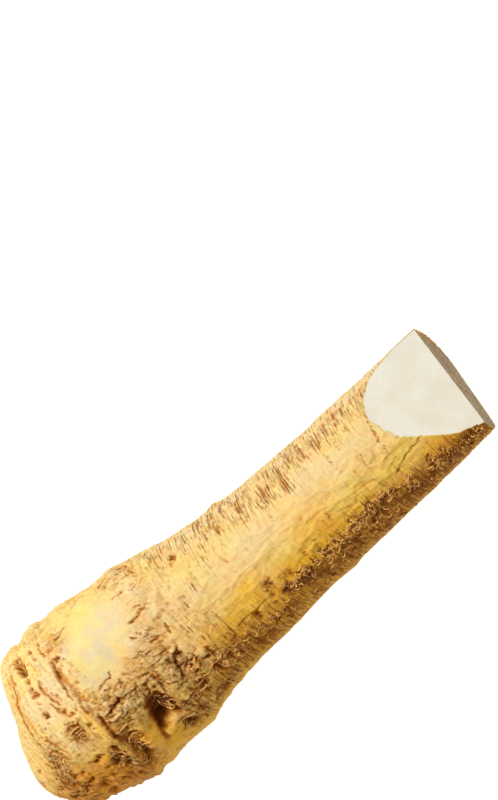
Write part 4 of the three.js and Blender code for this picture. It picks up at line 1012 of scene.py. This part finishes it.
def paintedShadeAndMarkColours(colour, bark, rough, lowSide):
    # painted shade and highlight from the relief: hollow places, where the relief is under its neighbours'
    # mean, take browns, and raised ones take pale colours; then the marks' darkness and paleness, their own
    # colours with painted shade in them
    hollow = (blurred(bark.relief, 1) - bark.relief) / 0.06
    wideHollow = (blurred(bark.relief, 5) - bark.relief) / 0.4
    wrinkled = bark.shaft * bell(turned(bark.looseAngle, 98), 26)
    neckRough = np.clip(rough, 0, 1) * bark.neck
    return laidOver(colour, [
        ("bone", 0.6 * np.clip(-hollow - 0.2, 0, 1) * rough * (1 - 0.7 * lowSide)),
        ("brown", 0.75 * np.clip(hollow - 0.5, 0, 1) * rough),
        ("rust", 0.35 * np.clip(wideHollow - 0.4, 0, 1) * rough),
        ("straw", 0.3 * np.clip(-1.6 * wideHollow - 0.15, 0, 1) * wrinkled),
        ("ochre", 0.3 * np.clip(1.6 * wideHollow - 0.15, 0, 1) * wrinkled),
        ("bone", 0.8 * np.clip(-1.5 * wideHollow - 0.1, 0, 1) * neckRough * (1 - 0.6 * lowSide)),
        ("tan", 0.35 * neckRough * smoothStep(-0.6, 0.2, wideHollow) * (1 - 0.5 * lowSide)),
        ("brown", 0.5 * np.clip(1.5 * wideHollow - 0.25, 0, 1) * neckRough),
        ("rust", 0.55 * smoothStep(0.05, 0.35, bark.dark)),
        ("brown", 0.85 * smoothStep(0.25, 0.6, bark.dark)),
        ("deep", 0.85 * smoothStep(0.5, 0.95, bark.dark)),
        ("bone", 0.6 * smoothStep(0.4, 0.9, bark.pale)),
    ])


def paintBark(bark):
    # the colour of every point, from the ground up
    broad, middling = layeredNoise(bark.place / 17, 91, 2), layeredNoise(bark.place / 4.5, 95, 3)
    lowSide = smoothStep(88, 120, bark.looseAngle) * (1 - smoothStep(200, 240, bark.looseAngle))
    worn = 0.2 + bark.flaking + 0.7 * bark.torn + bark.hairy + 0.8 * bark.folded + 0.25 * bark.crown
    rough = np.clip(worn, 0, 1.3) * (1 - 0.8 * bark.smoothArea)
    colour = groundColours(bark, lowSide, broad, middling)
    colour = flakeColours(colour, bark, lowSide)
    colour = markColours(colour, bark)
    colour = wornColours(colour, bark, rough, middling)
    return paintedShadeAndMarkColours(colour, bark, rough, lowSide)


colours = paintBark(bark)
print("bark painted")


def meshPiece(name, vertices, faces, smooth=True):
    # a mesh object with its faces turned outwards
    mesh = bpy.data.meshes.new(name)
    mesh.from_pydata(vertices, [], faces)
    build = bmesh.new()
    build.from_mesh(mesh)
    bmesh.ops.recalc_face_normals(build, faces=build.faces)
    build.to_mesh(mesh)
    build.free()
    mesh.polygons.foreach_set("use_smooth", np.full(len(mesh.polygons), smooth))
    piece = bpy.data.objects.new(name, mesh)
    bpy.context.scene.collection.objects.link(piece)
    return piece


def addValues(piece, name, values):
    # one number for each vertex
    layer = piece.data.attributes.new(name, "FLOAT", "POINT")
    layer.data.foreach_set("value", np.ascontiguousarray(values, np.float32).ravel())


def addColour(piece, name, values):
    # one colour for each vertex
    layer = piece.data.color_attributes.new(name, "FLOAT_COLOR", "POINT")
    rgba = np.concatenate([values, np.ones(values.shape[:-1] + (1,))], -1)
    layer.data.foreach_set("color", np.ascontiguousarray(rgba, np.float32).ravel())


def ringFaces(rowCount, columnCount):
    # quads between neighbouring rows, closed round the columns
    row, column = np.meshgrid(np.arange(rowCount - 1), np.arange(columnCount), indexing="ij")
    after = (column + 1) % columnCount
    quads = [row * columnCount + column, row * columnCount + after,
             (row + 1) * columnCount + after, (row + 1) * columnCount + column]
    return np.stack(quads, -1).reshape(-1, 4)


def cutRim():
    # the skin's last row, less its lip, and the same row moved by the rim's width towards the axis
    # within its own cut; at a corner it moves towards the other corner
    edge = skin[-1] - lip[:, None] * (1, 0, 0)
    flat, slanted = outsideCuts(edge)
    onSlant = slanted > flat
    onSlant[cornerColumns] = True
    axisAtEdge = np.stack([edge[:, 0], *sectionAt(edge[:, 0])[:2]], -1)
    normals = np.where(onSlant[:, None], slantNormal, endNormal)
    inward = axisAtEdge - edge
    inward -= (inward * normals).sum(-1, keepdims=True) * normals
    first, second = cornerColumns
    inward[first], inward[second] = edge[second] - edge[first], edge[first] - edge[second]
    return edge + skinMesh["rimWidth"] * unit(inward), axisAtEdge


columns = skinMesh["columns"]
rim, axisAtRim = cutRim()


def skinPiece():
    # The skin ends in a narrow rim of cut bark, then turns in behind the two cut faces. A fan closes
    # the tip, and another closes the inside.
    share, back = skinMesh["tuck"]
    tucked = rim + share * (axisAtRim - rim) - (back, 0, 0)
    closing = np.array([[skinMesh["closedAt"], *sectionAt(np.array(skinMesh["closedAt"]))[:2]]])
    allRows = np.concatenate([skin, rim[None], tucked[None]])
    vertices = np.concatenate([tip[None], allRows.reshape(-1, 3), closing])
    quads = ringFaces(len(allRows), columns) + 1
    step = np.arange(columns)
    nextStep = (step + 1) % columns
    tipFan = np.stack([np.zeros(columns, int), nextStep + 1, step + 1], -1)
    lastRow = 1 + (len(allRows) - 1) * columns
    endFan = np.stack([np.full(columns, len(vertices) - 1), lastRow + step, lastRow + nextStep], -1)
    faces = [*quads.tolist(), *tipFan.tolist(), *endFan.tolist()]
    return meshPiece("rootSkin", toFrame(vertices), faces)


def overSkin(grid, inner):
    # a grid's values for every vertex of the skin, with one value for the parts behind the rim
    first = grid[0].mean(axis=0, keepdims=True)
    extra = np.broadcast_to(inner, (2 * columns + 1,) + grid.shape[2:])
    return np.concatenate([first, grid.reshape((-1,) + grid.shape[2:]), extra])


rootSkin = skinPiece()
addColour(rootSkin, "barkColour", overSkin(colours, barkColours["straw"]))
lowBand = smoothStep(60, 70, bark.looseX) * bell(turned(bark.looseAngle, 148), 22)
streaked = 0.09 * bark.shaft + 0.07 * bark.ringed + 0.27 * bark.bands + 0.65 * bark.streaked + 0.6 * lowBand
addValues(rootSkin, "streaked", overSkin(np.clip(streaked, 0, 1), 0.0))
rough = bark.flaking + bark.torn + bark.hairy + bark.folded
addValues(rootSkin, "rough", overSkin(np.clip(rough, 0, 1), 0.0))
addValues(rootSkin, "hairy", overSkin(bark.hairy, 0.0))
rootSkin.data.set_sharp_from_angle(angle=math.radians(skinMesh["sharpFrom"]))
print("skin mesh", len(rootSkin.data.vertices), "vertices")

cutFaces = {"across": 24, "bulge": 1.2, "sharpFrom": 12}    # rows of faces, mm, degrees


def cutFace(name, outline, normal):
    # A closed lens: ruled lines from each outline point to the straight edge the two cuts share, and
    # back underneath, bulging inwards by sin(pi across) sin(pi along).
    along = np.concatenate([[0], np.cumsum(np.linalg.norm(np.diff(outline, axis=0), axis=1))])
    along = (along / along[-1])[:, None, None]
    outline = outline[:, None, :]
    chord = outline[0] + along * (outline[-1] - outline[0])
    t = np.linspace(0, 1, cutFaces["across"] + 1)[None, :, None]
    top = outline * (1 - t) + chord * t
    tBack = t[:, ::-1][:, 1:-1]
    depth = cutFaces["bulge"] * np.sin(np.pi * tBack) * np.sin(np.pi * along)
    bottom = outline * (1 - tBack) + chord * tBack - depth * normal
    loops = np.concatenate([top, bottom], 1)
    faces = ringFaces(*loops.shape[:2]).tolist()
    face = meshPiece(name, toFrame(loops.reshape(-1, 3)), faces)
    build = bmesh.new()
    build.from_mesh(face.data)
    bmesh.ops.remove_doubles(build, verts=build.verts, dist=1e-7)
    bmesh.ops.dissolve_degenerate(build, edges=build.edges, dist=1e-8)
    bmesh.ops.recalc_face_normals(build, faces=build.faces)
    build.to_mesh(face.data)
    build.free()
    face.data.set_sharp_from_angle(angle=math.radians(cutFaces["sharpFrom"]))
    return face


def between(first, last):
    # columns from one corner round to the other
    return (first + np.arange((last - first) % columns + 1)) % columns


firstCorner, secondCorner = cornerColumns
cutFlesh = cutFace("cutFlesh", rim[between(firstCorner, secondCorner)], slantNormal)
driedEnd = cutFace("driedEnd", rim[between(secondCorner, firstCorner)], endNormal)
print("cut faces done")

rootlets = {
    # x, angle, half length, half way round (mm), how many, length (mm)
    "fields": [
        (128, 124, 3.5, 2, 40, 2.6), (136, 125, 3, 1.8, 34, 2.6), (143, 126, 3, 2.2, 40, 2.6),
        (151, 123, 4, 2.4, 60, 2.6), (159, 122, 3, 2, 36, 2.6), (166, 125, 3, 2.4, 40, 2.6),
        (186, 133, 3, 3, 34, 2.4), (192, 134, 3, 3, 24, 2.2), (200, 140, 5, 2.4, 40, 2.2),
        (206, 143, 3, 2, 16, 2.0), (119, 125, 2.0, 2.0, 26, 2.4), (174, 130, 2.4, 2.4, 22, 2.4),
        (122, 128, 4, 2, 24, 2.6), (148, 138, 26, 5, 60, 2.4), (160, 150, 34, 5, 36, 2.2),
        (31.2, 96, 2.4, 2.6, 4, 2.6), (34.4, 130, 1.6, 2.8, 12, 3), (42.4, 120, 2.4, 2.6, 4, 3),
        (42, 138, 2.4, 4, 6, 3), (60.6, 120, 2.0, 2.4, 8, 3.6), (60, 150, 1.6, 3, 12, 3),
        (73.2, 132, 3, 3, 18, 2.8), (77, 118, 2.4, 2.4, 12, 3.4), (82, 130, 2.4, 2.4, 24, 2.4),
        (66, 134, 3, 4, 6, 3), (76, 151, 2.4, 2, 12, 2.4), (114.2, 110, 1.8, 2.0, 5, 2.0),
        (15.8, 106, 3, 3, 14, 2.4), (92, 136, 8, 6, 36, 2.4), (106, 138, 8, 6, 30, 2.4),
        (38, 300, 26, 12, 60, 4), (110, 310, 60, 6, 110, 4), (60, 230, 20, 12, 50, 4),
        (150, 225, 30, 6, 80, 3.5),
    ],
    # listed: x, angle, heading in degrees (0 along the root, 90 round it), turn, length and
    # thickness (mm)
    "placed": [
        (59.4, 124, 30, 310, 11, 0.34), (60.2, 126, 60, -250, 7, 0.28), (58.6, 124.6, -30, 230, 6, 0.24),
        (62.2, 127, 100, -160, 5, 0.26), (60.2, 121.4, 40, 160, 4, 0.24), (41.5, 137, -45, 60, 6.4, 0.28),
        (79.5, 112.6, 145, -120, 9, 0.3), (44.4, 128.6, 110, 60, 2.6, 0.2), (76.4, 116, 60, 90, 5.4, 0.24),
        (77.8, 119.4, 150, 80, 4.6, 0.22), (75.2, 120.4, 20, -120, 4, 0.22),
        (101.4, 160, 85, 30, 5.0, 0.26), (64.6, 118.6, 30, 140, 3.4, 0.2), (62.6, 128, 70, 100, 3.2, 0.2),
        (83.8, 125, 100, 90, 3.6, 0.24), (38.6, 127, 80, 30, 4.0, 0.26), (39.8, 139, 60, 60, 3.4, 0.22),
    ],
    "curledScars": (0, 1, 2, 3, 8, 11, 12, 15),     # torn scars with arcs of curled bark
    "thickness": (0.2, 0.36), "arcThickness": (0.3, 0.48), "arcLength": 3.0,
    "steps": 8, "sides": 5, "seed": 5, "clearOfEnd": 1.0,
}


def scarArcs(random, steps):
    # arcs of curled bark in each torn scar, x = cx + r cos(t) and round = cy + r sin(t) about the centre
    # of its layers, with r spread over the scar and t kept inside it
    paths = []
    spread = np.linspace(-1, 1, steps)
    for scar in rootlets["curledScars"]:
        x, angle, halfLength, halfRound, depth, darkness, stepX, stepRound = barkMarks["tornScars"][scar]
        size, reach = (halfLength + halfRound) / 2, math.hypot(stepX, stepRound)
        count = 1 + int(0.9 * size)
        radii = np.abs(reach + size * np.linspace(-0.9, 0.9, count) + random.normal(0, 0.1, count)) + 0.4
        middle = math.atan2(-stepRound, -stepX) + random.normal(0, 0.12, count)
        half = np.minimum(0.75 * size / radii, 2.4) * random.uniform(0.5, 1.1, count)
        ripple = 0.25 * np.sin(random.uniform(2, 6, (count, 1)) * spread)
        turns = middle[:, None] + half[:, None] * spread + ripple
        wave = random.uniform(3, 7, (count, 1)) * spread + random.uniform(0, 6, (count, 1))
        wavy = radii[:, None] * (1 + 0.06 * np.sin(wave))
        scale = np.degrees(1) / sectionAt(np.array(float(x)))[2]
        around = angle + (stepRound + wavy * np.sin(turns)) * scale
        paths.append(np.stack([x + stepX + wavy * np.cos(turns), around]))
    return np.concatenate(paths, axis=1)


def widthAt(x):
    # the root's half width, clear of the narrow tip and of the cut end
    return sectionAt(np.clip(x, 10, 208))[2]


def walked(startX, startAngle, heading, length):
    # steps along the skin: x grows by cos(heading), the way round by sin(heading)
    pace = (length / (heading.shape[1] - 1))[:, None]
    x = startX[:, None] + np.cumsum(np.cos(heading) * pace, 1)
    around = np.cumsum(np.sin(heading) * pace, 1) / widthAt(startX)[:, None]
    return np.clip(x, 4, None), startAngle[:, None] + np.degrees(around)


def looseRootlets(random, t):
    # from seeded places in each field, a heading that turns steadily, plus a ripple, is walked
    fields = np.repeat(np.array(rootlets["fields"], float), [f[4] for f in rootlets["fields"]], axis=0)
    count = len(fields)
    startX = fields[:, 0] + fields[:, 2] * random.normal(0, 0.55, count)
    around = fields[:, 3] * random.normal(0, 0.6, count) / widthAt(startX)
    length = fields[:, 5] * random.uniform(0.45, 1.35, count)
    heading = np.pi / 2 * random.choice([-1, 1], (count, 1)) + random.normal(0, 0.7, (count, 1))
    heading = heading + random.normal(0, 2.2, (count, 1)) * t
    heading = heading + random.uniform(0.2, 0.9, (count, 1)) * np.sin(t * random.uniform(4, 10, (count, 1)))
    return *walked(startX, fields[:, 1] + np.degrees(around), heading, length), length


def tubes(path, outward, thick, sides):
    # rings about each path, point + thick (cos(a) sideways + sin(a) upward), and a point at each end
    count, steps = path.shape[:2]
    ahead = unit(np.gradient(path, axis=1))
    sideways = unit(np.cross(ahead, outward))
    upward = np.cross(sideways, ahead)
    turns = np.arange(sides) / sides * 2 * np.pi
    ring = (np.cos(turns)[:, None] * sideways[:, :, None, :]
            + np.sin(turns)[:, None] * upward[:, :, None, :])
    rings = path[:, :, None, :] + thick[..., None, None] * ring
    tipPoint = path[:, -1] + ahead[:, -1] * thick[:, -1:] * 1.5
    rootPoint = path[:, 0] - ahead[:, 0] * thick[:, :1]
    vertices = np.concatenate([rings.reshape(count, -1, 3), rootPoint[:, None], tipPoint[:, None]], 1)
    a, b = np.arange(sides), (np.arange(sides) + 1) % sides
    rootFan = np.stack([np.full(sides, steps * sides), b, a], -1)
    lastRing = (steps - 1) * sides
    tipFan = np.stack([np.full(sides, steps * sides + 1), lastRing + a, lastRing + b], -1)
    offset = (np.arange(count) * (steps * sides + 2))[:, None, None]
    faces = (ringFaces(steps, sides)[None] + offset).reshape(-1, 4).tolist()
    faces += (np.concatenate([rootFan, tipFan])[None] + offset).reshape(-1, 3).tolist()
    return vertices.reshape(-1, 3), faces


def rootletPiece():
    # Loose rootlets, listed ones and arcs of curled bark are lifted off the skin in an arch,
    # lift sin(pi t), and made into tubes that narrow to the tip; arcs are thickest in the middle.
    random = np.random.default_rng(rootlets["seed"])
    steps, sides = rootlets["steps"], rootlets["sides"]
    t = np.linspace(0, 1, steps)[None, :]
    looseX, looseAngle, looseLength = looseRootlets(random, t)
    placed = np.array(rootlets["placed"], float)
    placedHeading = np.radians(placed[:, 2:3] + placed[:, 3:4] * t)
    placedX, placedAngle = walked(placed[:, 0], placed[:, 1], placedHeading, placed[:, 4])
    arcX, arcAngle = scarArcs(random, steps)
    looseCount, placedCount, arcCount = len(looseX), len(placed), len(arcX)
    x = np.concatenate([looseX, placedX, arcX])
    angle = np.concatenate([looseAngle, placedAngle, arcAngle])
    isArc = np.repeat([False, True], [looseCount + placedCount, arcCount])
    length = np.concatenate([looseLength, placed[:, 4], np.full(arcCount, rootlets["arcLength"])])
    looseThick = random.uniform(*rootlets["thickness"], looseCount)
    arcThick = random.uniform(*rootlets["arcThickness"], arcCount)
    thick = np.concatenate([looseThick, placed[:, 5], arcThick])
    looseShade = random.normal(np.where(random.random(looseCount) < 0.45, 0.1, 0.85), 0.18)
    placedShade, arcShade = random.uniform(0.85, 1.05, placedCount), random.uniform(0.45, 0.95, arcCount)
    shade = np.concatenate([looseShade, placedShade, arcShade])
    keep = x.max(1) < endPlaces(angle[:, 0] % 360) - rootlets["clearOfEnd"]
    x, angle, length, thick, shade, isArc = (v[keep] for v in (x, angle, length, thick, shade, isArc))
    count, isArc = len(x), isArc[:, None]

    t = np.broadcast_to(t, (count, steps))
    ground = skinPoints(x, angle)
    outward = unit(ground - np.stack([x, *sectionAt(x)[:2]], -1))
    lift = random.uniform(0.3, 1.0, (count, 1)) * np.minimum(length[:, None] * 0.2, 0.6)
    arch = lift * np.sin(np.pi * np.minimum(t * 1.15, 1)) ** 0.8 - 0.05
    raised = np.where(isArc, 0.15 * np.sin(np.pi * t) - 0.02, arch)
    thick = thick[:, None] * np.where(isArc, 0.45 + 0.55 * np.sin(np.pi * t), 1 - 0.55 * t)
    vertices, faces = tubes(ground + outward * raised[..., None], outward, thick, sides)
    piece = meshPiece("rootlets", toFrame(vertices), faces)
    shade = np.clip(shade[:, None] + 0.2 * np.linspace(-1, 1, steps)[None], 0, 1)
    shade = np.repeat(shade, sides, axis=1)
    addValues(piece, "shade", np.concatenate([shade, shade[:, :1], shade[:, -1:]], 1))
    return piece


curledRootlets = rootletPiece()
print("rootlets", len(curledRootlets.data.polygons), "faces")


def newMaterial(name):
    # a material, and short ways to add a node to it and to link into its shader
    material = bpy.data.materials.new(name)
    material.use_nodes = True
    nodes, links = material.node_tree.nodes, material.node_tree.links
    shader = nodes["Principled BSDF"]

    def add(kind, values=None, **settings):
        made = nodes.new(kind)
        for key, value in settings.items():
            setattr(made, key, value)
        for key, value in (values or {}).items():
            if isinstance(value, bpy.types.NodeSocket):
                links.new(value, made.inputs[key])
            else:
                made.inputs[key].default_value = value
        return made

    return material, add, links, shader


def noiseOn(add, coordinates, perMillimetre, detail=2.0, roughness=0.5, **extra):
    # noise with this many cells to a millimetre along each axis
    stretch = [1000 * cells for cells in perMillimetre]
    mapped = add("ShaderNodeMapping", {"Vector": coordinates, "Scale": stretch})
    return add("ShaderNodeTexNoise", {
        "Vector": mapped.outputs["Vector"], "Scale": 1.0, "Detail": detail, "Roughness": roughness, **extra,
    }).outputs["Fac"]


def rangeOf(add, value, low, high, toLow=0.0, toHigh=1.0):
    # the value's way from low to high, carried over to the way from toLow to toHigh
    return add("ShaderNodeMapRange", {
        "Value": value, "From Min": low, "From Max": high, "To Min": toLow, "To Max": toHigh,
    }).outputs["Result"]


def times(add, a, b):
    # a x b
    return add("ShaderNodeMath", {0: a, 1: b}, operation="MULTIPLY").outputs[0]


def plus(add, a, b):
    # a + b
    return add("ShaderNodeMath", {0: a, 1: b}, operation="ADD").outputs[0]


def mixColour(add, amount, a, b, blend="MIX"):
    # a and b mixed by the amount; sockets are linked, plain values are set
    made = add("ShaderNodeMix", data_type="RGBA", blend_type=blend)
    for key, value in ((0, amount), (6, a), (7, b)):
        if isinstance(value, bpy.types.NodeSocket):
            made.id_data.links.new(value, made.inputs[key])
        else:
            made.inputs[key].default_value = value
    return made.outputs[2]


def rgba(*colour):
    # a colour as shown on screen, opaque, as the sockets take it
    return (*fromSrgb(*colour), 1)


def barkMaterial():
    # the painted colour, with fine strokes, specks, crevices and fibres from noise laid over it, each
    # held to where the skin's values ask for it
    material, add, links, shader = newMaterial("bark")
    coordinates = add("ShaderNodeTexCoord").outputs["Object"]
    painted = add("ShaderNodeAttribute", attribute_name="barkColour").outputs["Color"]
    streaked = add("ShaderNodeAttribute", attribute_name="streaked").outputs["Fac"]
    rough = add("ShaderNodeAttribute", attribute_name="rough").outputs["Fac"]
    hairy = add("ShaderNodeAttribute", attribute_name="hairy").outputs["Fac"]
    strokes = noiseOn(add, coordinates, (1.6, 0.12, 0.12), 3, 0.6)
    fineStrokes = noiseOn(add, coordinates, (3.6, 0.3, 0.3), 3, 0.6)
    longFibres = noiseOn(add, coordinates, (0.35, 1.5, 1.5), 4, 0.6)
    grain = noiseOn(add, coordinates, (1.7, 1.7, 1.7), 3, 0.65)
    blotches = noiseOn(add, coordinates, (0.2, 0.2, 0.2), 4, 0.6)
    specks = noiseOn(add, coordinates, (1.0, 0.6, 0.6), 3, 0.7)
    blotchShare = rangeOf(add, blotches, 0.35, 0.7, 0.0, 0.3)
    colour = mixColour(add, blotchShare, painted, rgba(250, 226, 160), "SOFT_LIGHT")
    # the more streaked the skin, the more of the stroke noise counts as a streak
    strokeMask = rangeOf(add, plus(add, strokes, times(add, streaked, 0.13)), 0.61, 0.7)
    fineMask = rangeOf(add, plus(add, fineStrokes, times(add, streaked, 0.1)), 0.62, 0.68)
    amount = times(add, rangeOf(add, streaked, 0.02, 0.35), 0.85)
    colour = mixColour(add, times(add, strokeMask, amount), colour, rgba(170, 98, 38))
    colour = mixColour(add, times(add, fineMask, times(add, amount, 0.6)), colour, rgba(186, 116, 52))
    speckMask = rangeOf(add, plus(add, specks, times(add, rough, 0.06)), 0.62, 0.69)
    speckShare = times(add, speckMask, plus(add, times(add, rough, 0.35), 0.08))
    colour = mixColour(add, speckShare, colour, rgba(146, 80, 24))
    # crevices lie where a noise passes through its middle value
    deepRough = rangeOf(add, rough, 0.35, 0.95)
    crevice = noiseOn(add, coordinates, (0.9, 0.4, 0.4), 4, 0.6, Distortion=0.6)
    crevice = add("ShaderNodeMath", {0: crevice, 1: 0.5}, operation="SUBTRACT").outputs[0]
    crevice = add("ShaderNodeMath", {0: crevice}, operation="ABSOLUTE").outputs[0]
    crevice = rangeOf(add, crevice, 0.004, 0.02, 1.0, 0.0)
    colour = mixColour(add, times(add, crevice, times(add, deepRough, 0.5)), colour, rgba(124, 66, 18))
    fibreShare = times(add, rangeOf(add, longFibres, 0.58, 0.66), times(add, rough, 0.35))
    colour = mixColour(add, fibreShare, colour, rgba(246, 214, 156))
    hairShare = times(add, rangeOf(add, fineStrokes, 0.5, 0.36), times(add, hairy, 0.75))
    colour = mixColour(add, hairShare, colour, rgba(88, 44, 12))
    grainShare = rangeOf(add, grain, 0.3, 0.7, 0.1, 0.0)
    colour = mixColour(add, grainShare, colour, rgba(150, 92, 40), "MULTIPLY")
    links.new(colour, shader.inputs["Base Color"])
    gloss = rangeOf(add, plus(add, rough, grain), 0.4, 1.5, 0.6, 0.9)
    links.new(gloss, shader.inputs["Roughness"])
    shader.inputs["Specular IOR Level"].default_value = 0.05
    shader.inputs["Subsurface Weight"].default_value = 0.4
    shader.inputs["Subsurface Radius"].default_value = (1.0, 0.4, 0.12)
    shader.inputs["Subsurface Scale"].default_value = 0.0012
    lines = times(add, plus(add, strokeMask, fineMask), times(add, amount, -0.5))
    bumpHeight = plus(add, times(add, grain, plus(add, times(add, rough, 0.55), 0.25)), lines)
    bumpHeight = plus(add, bumpHeight, times(add, longFibres, plus(add, times(add, rough, 1.4), 0.3)))
    bumpHeight = plus(add, bumpHeight, times(add, speckMask, times(add, rough, -0.8)))
    bumpHeight = plus(add, bumpHeight, times(add, crevice, times(add, deepRough, -0.4)))
    bump = add("ShaderNodeBump", {"Height": bumpHeight, "Strength": 0.9, "Distance": 0.0007})
    links.new(bump.outputs["Normal"], shader.inputs["Normal"])
    return material


def fleshMaterial():
    # nearly white, clouded a little, with faint fibres
    material, add, links, shader = newMaterial("fleshWhite")
    coordinates = add("ShaderNodeTexCoord").outputs["Object"]
    clouds = noiseOn(add, coordinates, (0.09, 0.09, 0.09), 3, 0.5)
    fibres = noiseOn(add, coordinates, (0.9, 0.9, 0.9), 3, 0.6)
    cloudShare = rangeOf(add, clouds, 0.35, 0.65)
    colour = mixColour(add, cloudShare, rgba(243, 244, 239), rgba(237, 235, 224))
    fibreShare = rangeOf(add, fibres, 0.45, 0.75, 0.0, 0.25)
    colour = mixColour(add, fibreShare, colour, rgba(228, 216, 188))
    links.new(colour, shader.inputs["Base Color"])
    shader.inputs["Roughness"].default_value = 0.42
    shader.inputs["Specular IOR Level"].default_value = 0.4
    bump = add("ShaderNodeBump", {"Height": fibres, "Strength": 0.12, "Distance": 0.0002})
    links.new(bump.outputs["Normal"], shader.inputs["Normal"])
    return material


def driedMaterial():
    # dull grey-brown, speckled dark and light by one grain
    material, add, links, shader = newMaterial("driedFlesh")
    coordinates = add("ShaderNodeTexCoord").outputs["Object"]
    grain = noiseOn(add, coordinates, (1.2, 1.2, 0.5), 4, 0.7)
    clouds = noiseOn(add, coordinates, (0.14, 0.14, 0.14), 3, 0.5)
    cloudShare = rangeOf(add, clouds, 0.35, 0.65)
    colour = mixColour(add, cloudShare, rgba(196, 172, 126), rgba(168, 138, 108))
    darkShare = rangeOf(add, grain, 0.42, 0.62, 0.0, 0.75)
    colour = mixColour(add, darkShare, colour, rgba(104, 78, 48))
    lightShare = rangeOf(add, grain, 0.4, 0.3, 0.0, 0.5)
    colour = mixColour(add, lightShare, colour, rgba(214, 200, 150))
    links.new(colour, shader.inputs["Base Color"])
    shader.inputs["Roughness"].default_value = 0.85
    bump = add("ShaderNodeBump", {"Height": grain, "Strength": 0.6, "Distance": 0.0004})
    links.new(bump.outputs["Normal"], shader.inputs["Normal"])
    return material


def rootletMaterial():
    # from brown to pale straw by each rootlet's own shade, with a little grain
    material, add, links, shader = newMaterial("rootletFibre")
    coordinates = add("ShaderNodeTexCoord").outputs["Object"]
    shade = add("ShaderNodeAttribute", attribute_name="shade").outputs["Fac"]
    grain = noiseOn(add, coordinates, (1.2, 1.2, 1.2), 3, 0.6)
    shadeShare = plus(add, shade, rangeOf(add, grain, 0.3, 0.7, -0.2, 0.2))
    colour = mixColour(add, shadeShare, rgba(120, 60, 14), rgba(248, 196, 118))
    links.new(colour, shader.inputs["Base Color"])
    shader.inputs["Roughness"].default_value = 0.7
    shader.inputs["Specular IOR Level"].default_value = 0.05
    return material


finishes = (
    (rootSkin, "root_skin", barkMaterial), (cutFlesh, "cut_flesh", fleshMaterial),
    (driedEnd, "dried_end", driedMaterial), (curledRootlets, "rootlets", rootletMaterial),
)
for piece, slot, makeMaterial in finishes:
    piece.data.materials.append(makeMaterial())
    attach(piece, "root")
    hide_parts(node)
print("materials done")

stageSet = {
    "floorHalf": 1.6, "floorDrop": 0.0004, "floorGlow": 0.97,       # metres, metres, strength
    "keyEnergy": 13.1, "keySize": 0.3, "keyFrom": (-0.3, 0.66, 1.05),
    "worldLight": 0.41, "worldColour": (1.0, 0.84, 0.55),
}


def makeStage():
    # a level square under the root, glowing a little so that its shadows stay pale; one soft light
    # from above; and a warm, even world
    corners = np.array([(-1, -1), (1, -1), (1, 1), (-1, 1)]) * stageSet["floorHalf"]
    vertices = np.column_stack([corners, np.full(4, -stageSet["floorDrop"])])
    floor = meshPiece("floor", vertices, [(0, 1, 2, 3)], smooth=False)
    material, add, links, shader = newMaterial("paleFloor")
    shader.inputs["Base Color"].default_value = (0.15, 0.15, 0.15, 1)
    shader.inputs["Roughness"].default_value = 0.9
    shader.inputs["Emission Color"].default_value = (1, 1, 1, 1)
    shader.inputs["Emission Strength"].default_value = stageSet["floorGlow"]
    floor.data.materials.append(material)
    key = bpy.data.lights.new("key", "AREA")
    key.size, key.energy = stageSet["keySize"], stageSet["keyEnergy"]
    keyObject = bpy.data.objects.new("key", key)
    keyObject.location = stageSet["keyFrom"]
    keyObject.rotation_euler = Vector(stageSet["keyFrom"]).to_track_quat("Z", "Y").to_euler()
    bpy.context.scene.collection.objects.link(keyObject)
    world = bpy.data.worlds.new("studio")
    world.use_nodes = True
    background = world.node_tree.nodes["Background"]
    background.inputs["Color"].default_value = (*stageSet["worldColour"], 1)
    background.inputs["Strength"].default_value = stageSet["worldLight"]
    bpy.context.scene.world = world
    bpy.context.scene.view_settings.view_transform = "Standard"


makeStage()

camera = {
    "elevation": 78.8, "roll": 43.7,                # degrees above the horizon; the root's slope in view
    "distance": 2.0, "farthest": 10,                # metres
    "lens": 252.0, "sensor": 36,                    # millimetres
    "looksAt": (105.0, 0.0, 30.0),                  # mm on the root
    "frameOffset": (0.0027, 0.0630),                # metres right and up from there to the frame's middle
}


def makeCamera():
    # The camera stands off along its back vector from the point it looks at, then turns to the
    # frame's middle; right, up and back make the columns of its matrix.
    elevation, roll = math.radians(camera["elevation"]), math.radians(camera["roll"])
    back = Vector((math.cos(elevation), 0, math.sin(elevation)))
    up = Vector((math.sin(roll), math.cos(roll), 0))
    up = (up - up.dot(back) * back).normalized()
    right = up.cross(back)
    target = Vector(np.array(camera["looksAt"]) / 1000 + frameShift)
    place = target + camera["distance"] * back
    offsetRight, offsetUp = camera["frameOffset"]
    middle = target + offsetRight * right + offsetUp * up
    newBack = (place - middle).normalized()
    newUp = (up - up.dot(newBack) * newBack).normalized()
    newRight = newUp.cross(newBack)
    data = bpy.data.cameras.new("camera")
    data.lens, data.sensor_width, data.clip_end = camera["lens"], camera["sensor"], camera["farthest"]
    made = bpy.data.objects.new("camera", data)
    turnMatrix = Matrix((newRight, newUp, newBack)).transposed()
    made.matrix_world = Matrix.Translation(place) @ turnMatrix.to_4x4()
    bpy.context.scene.collection.objects.link(made)
    bpy.context.scene.camera = made


makeCamera()
print("stage and camera done")
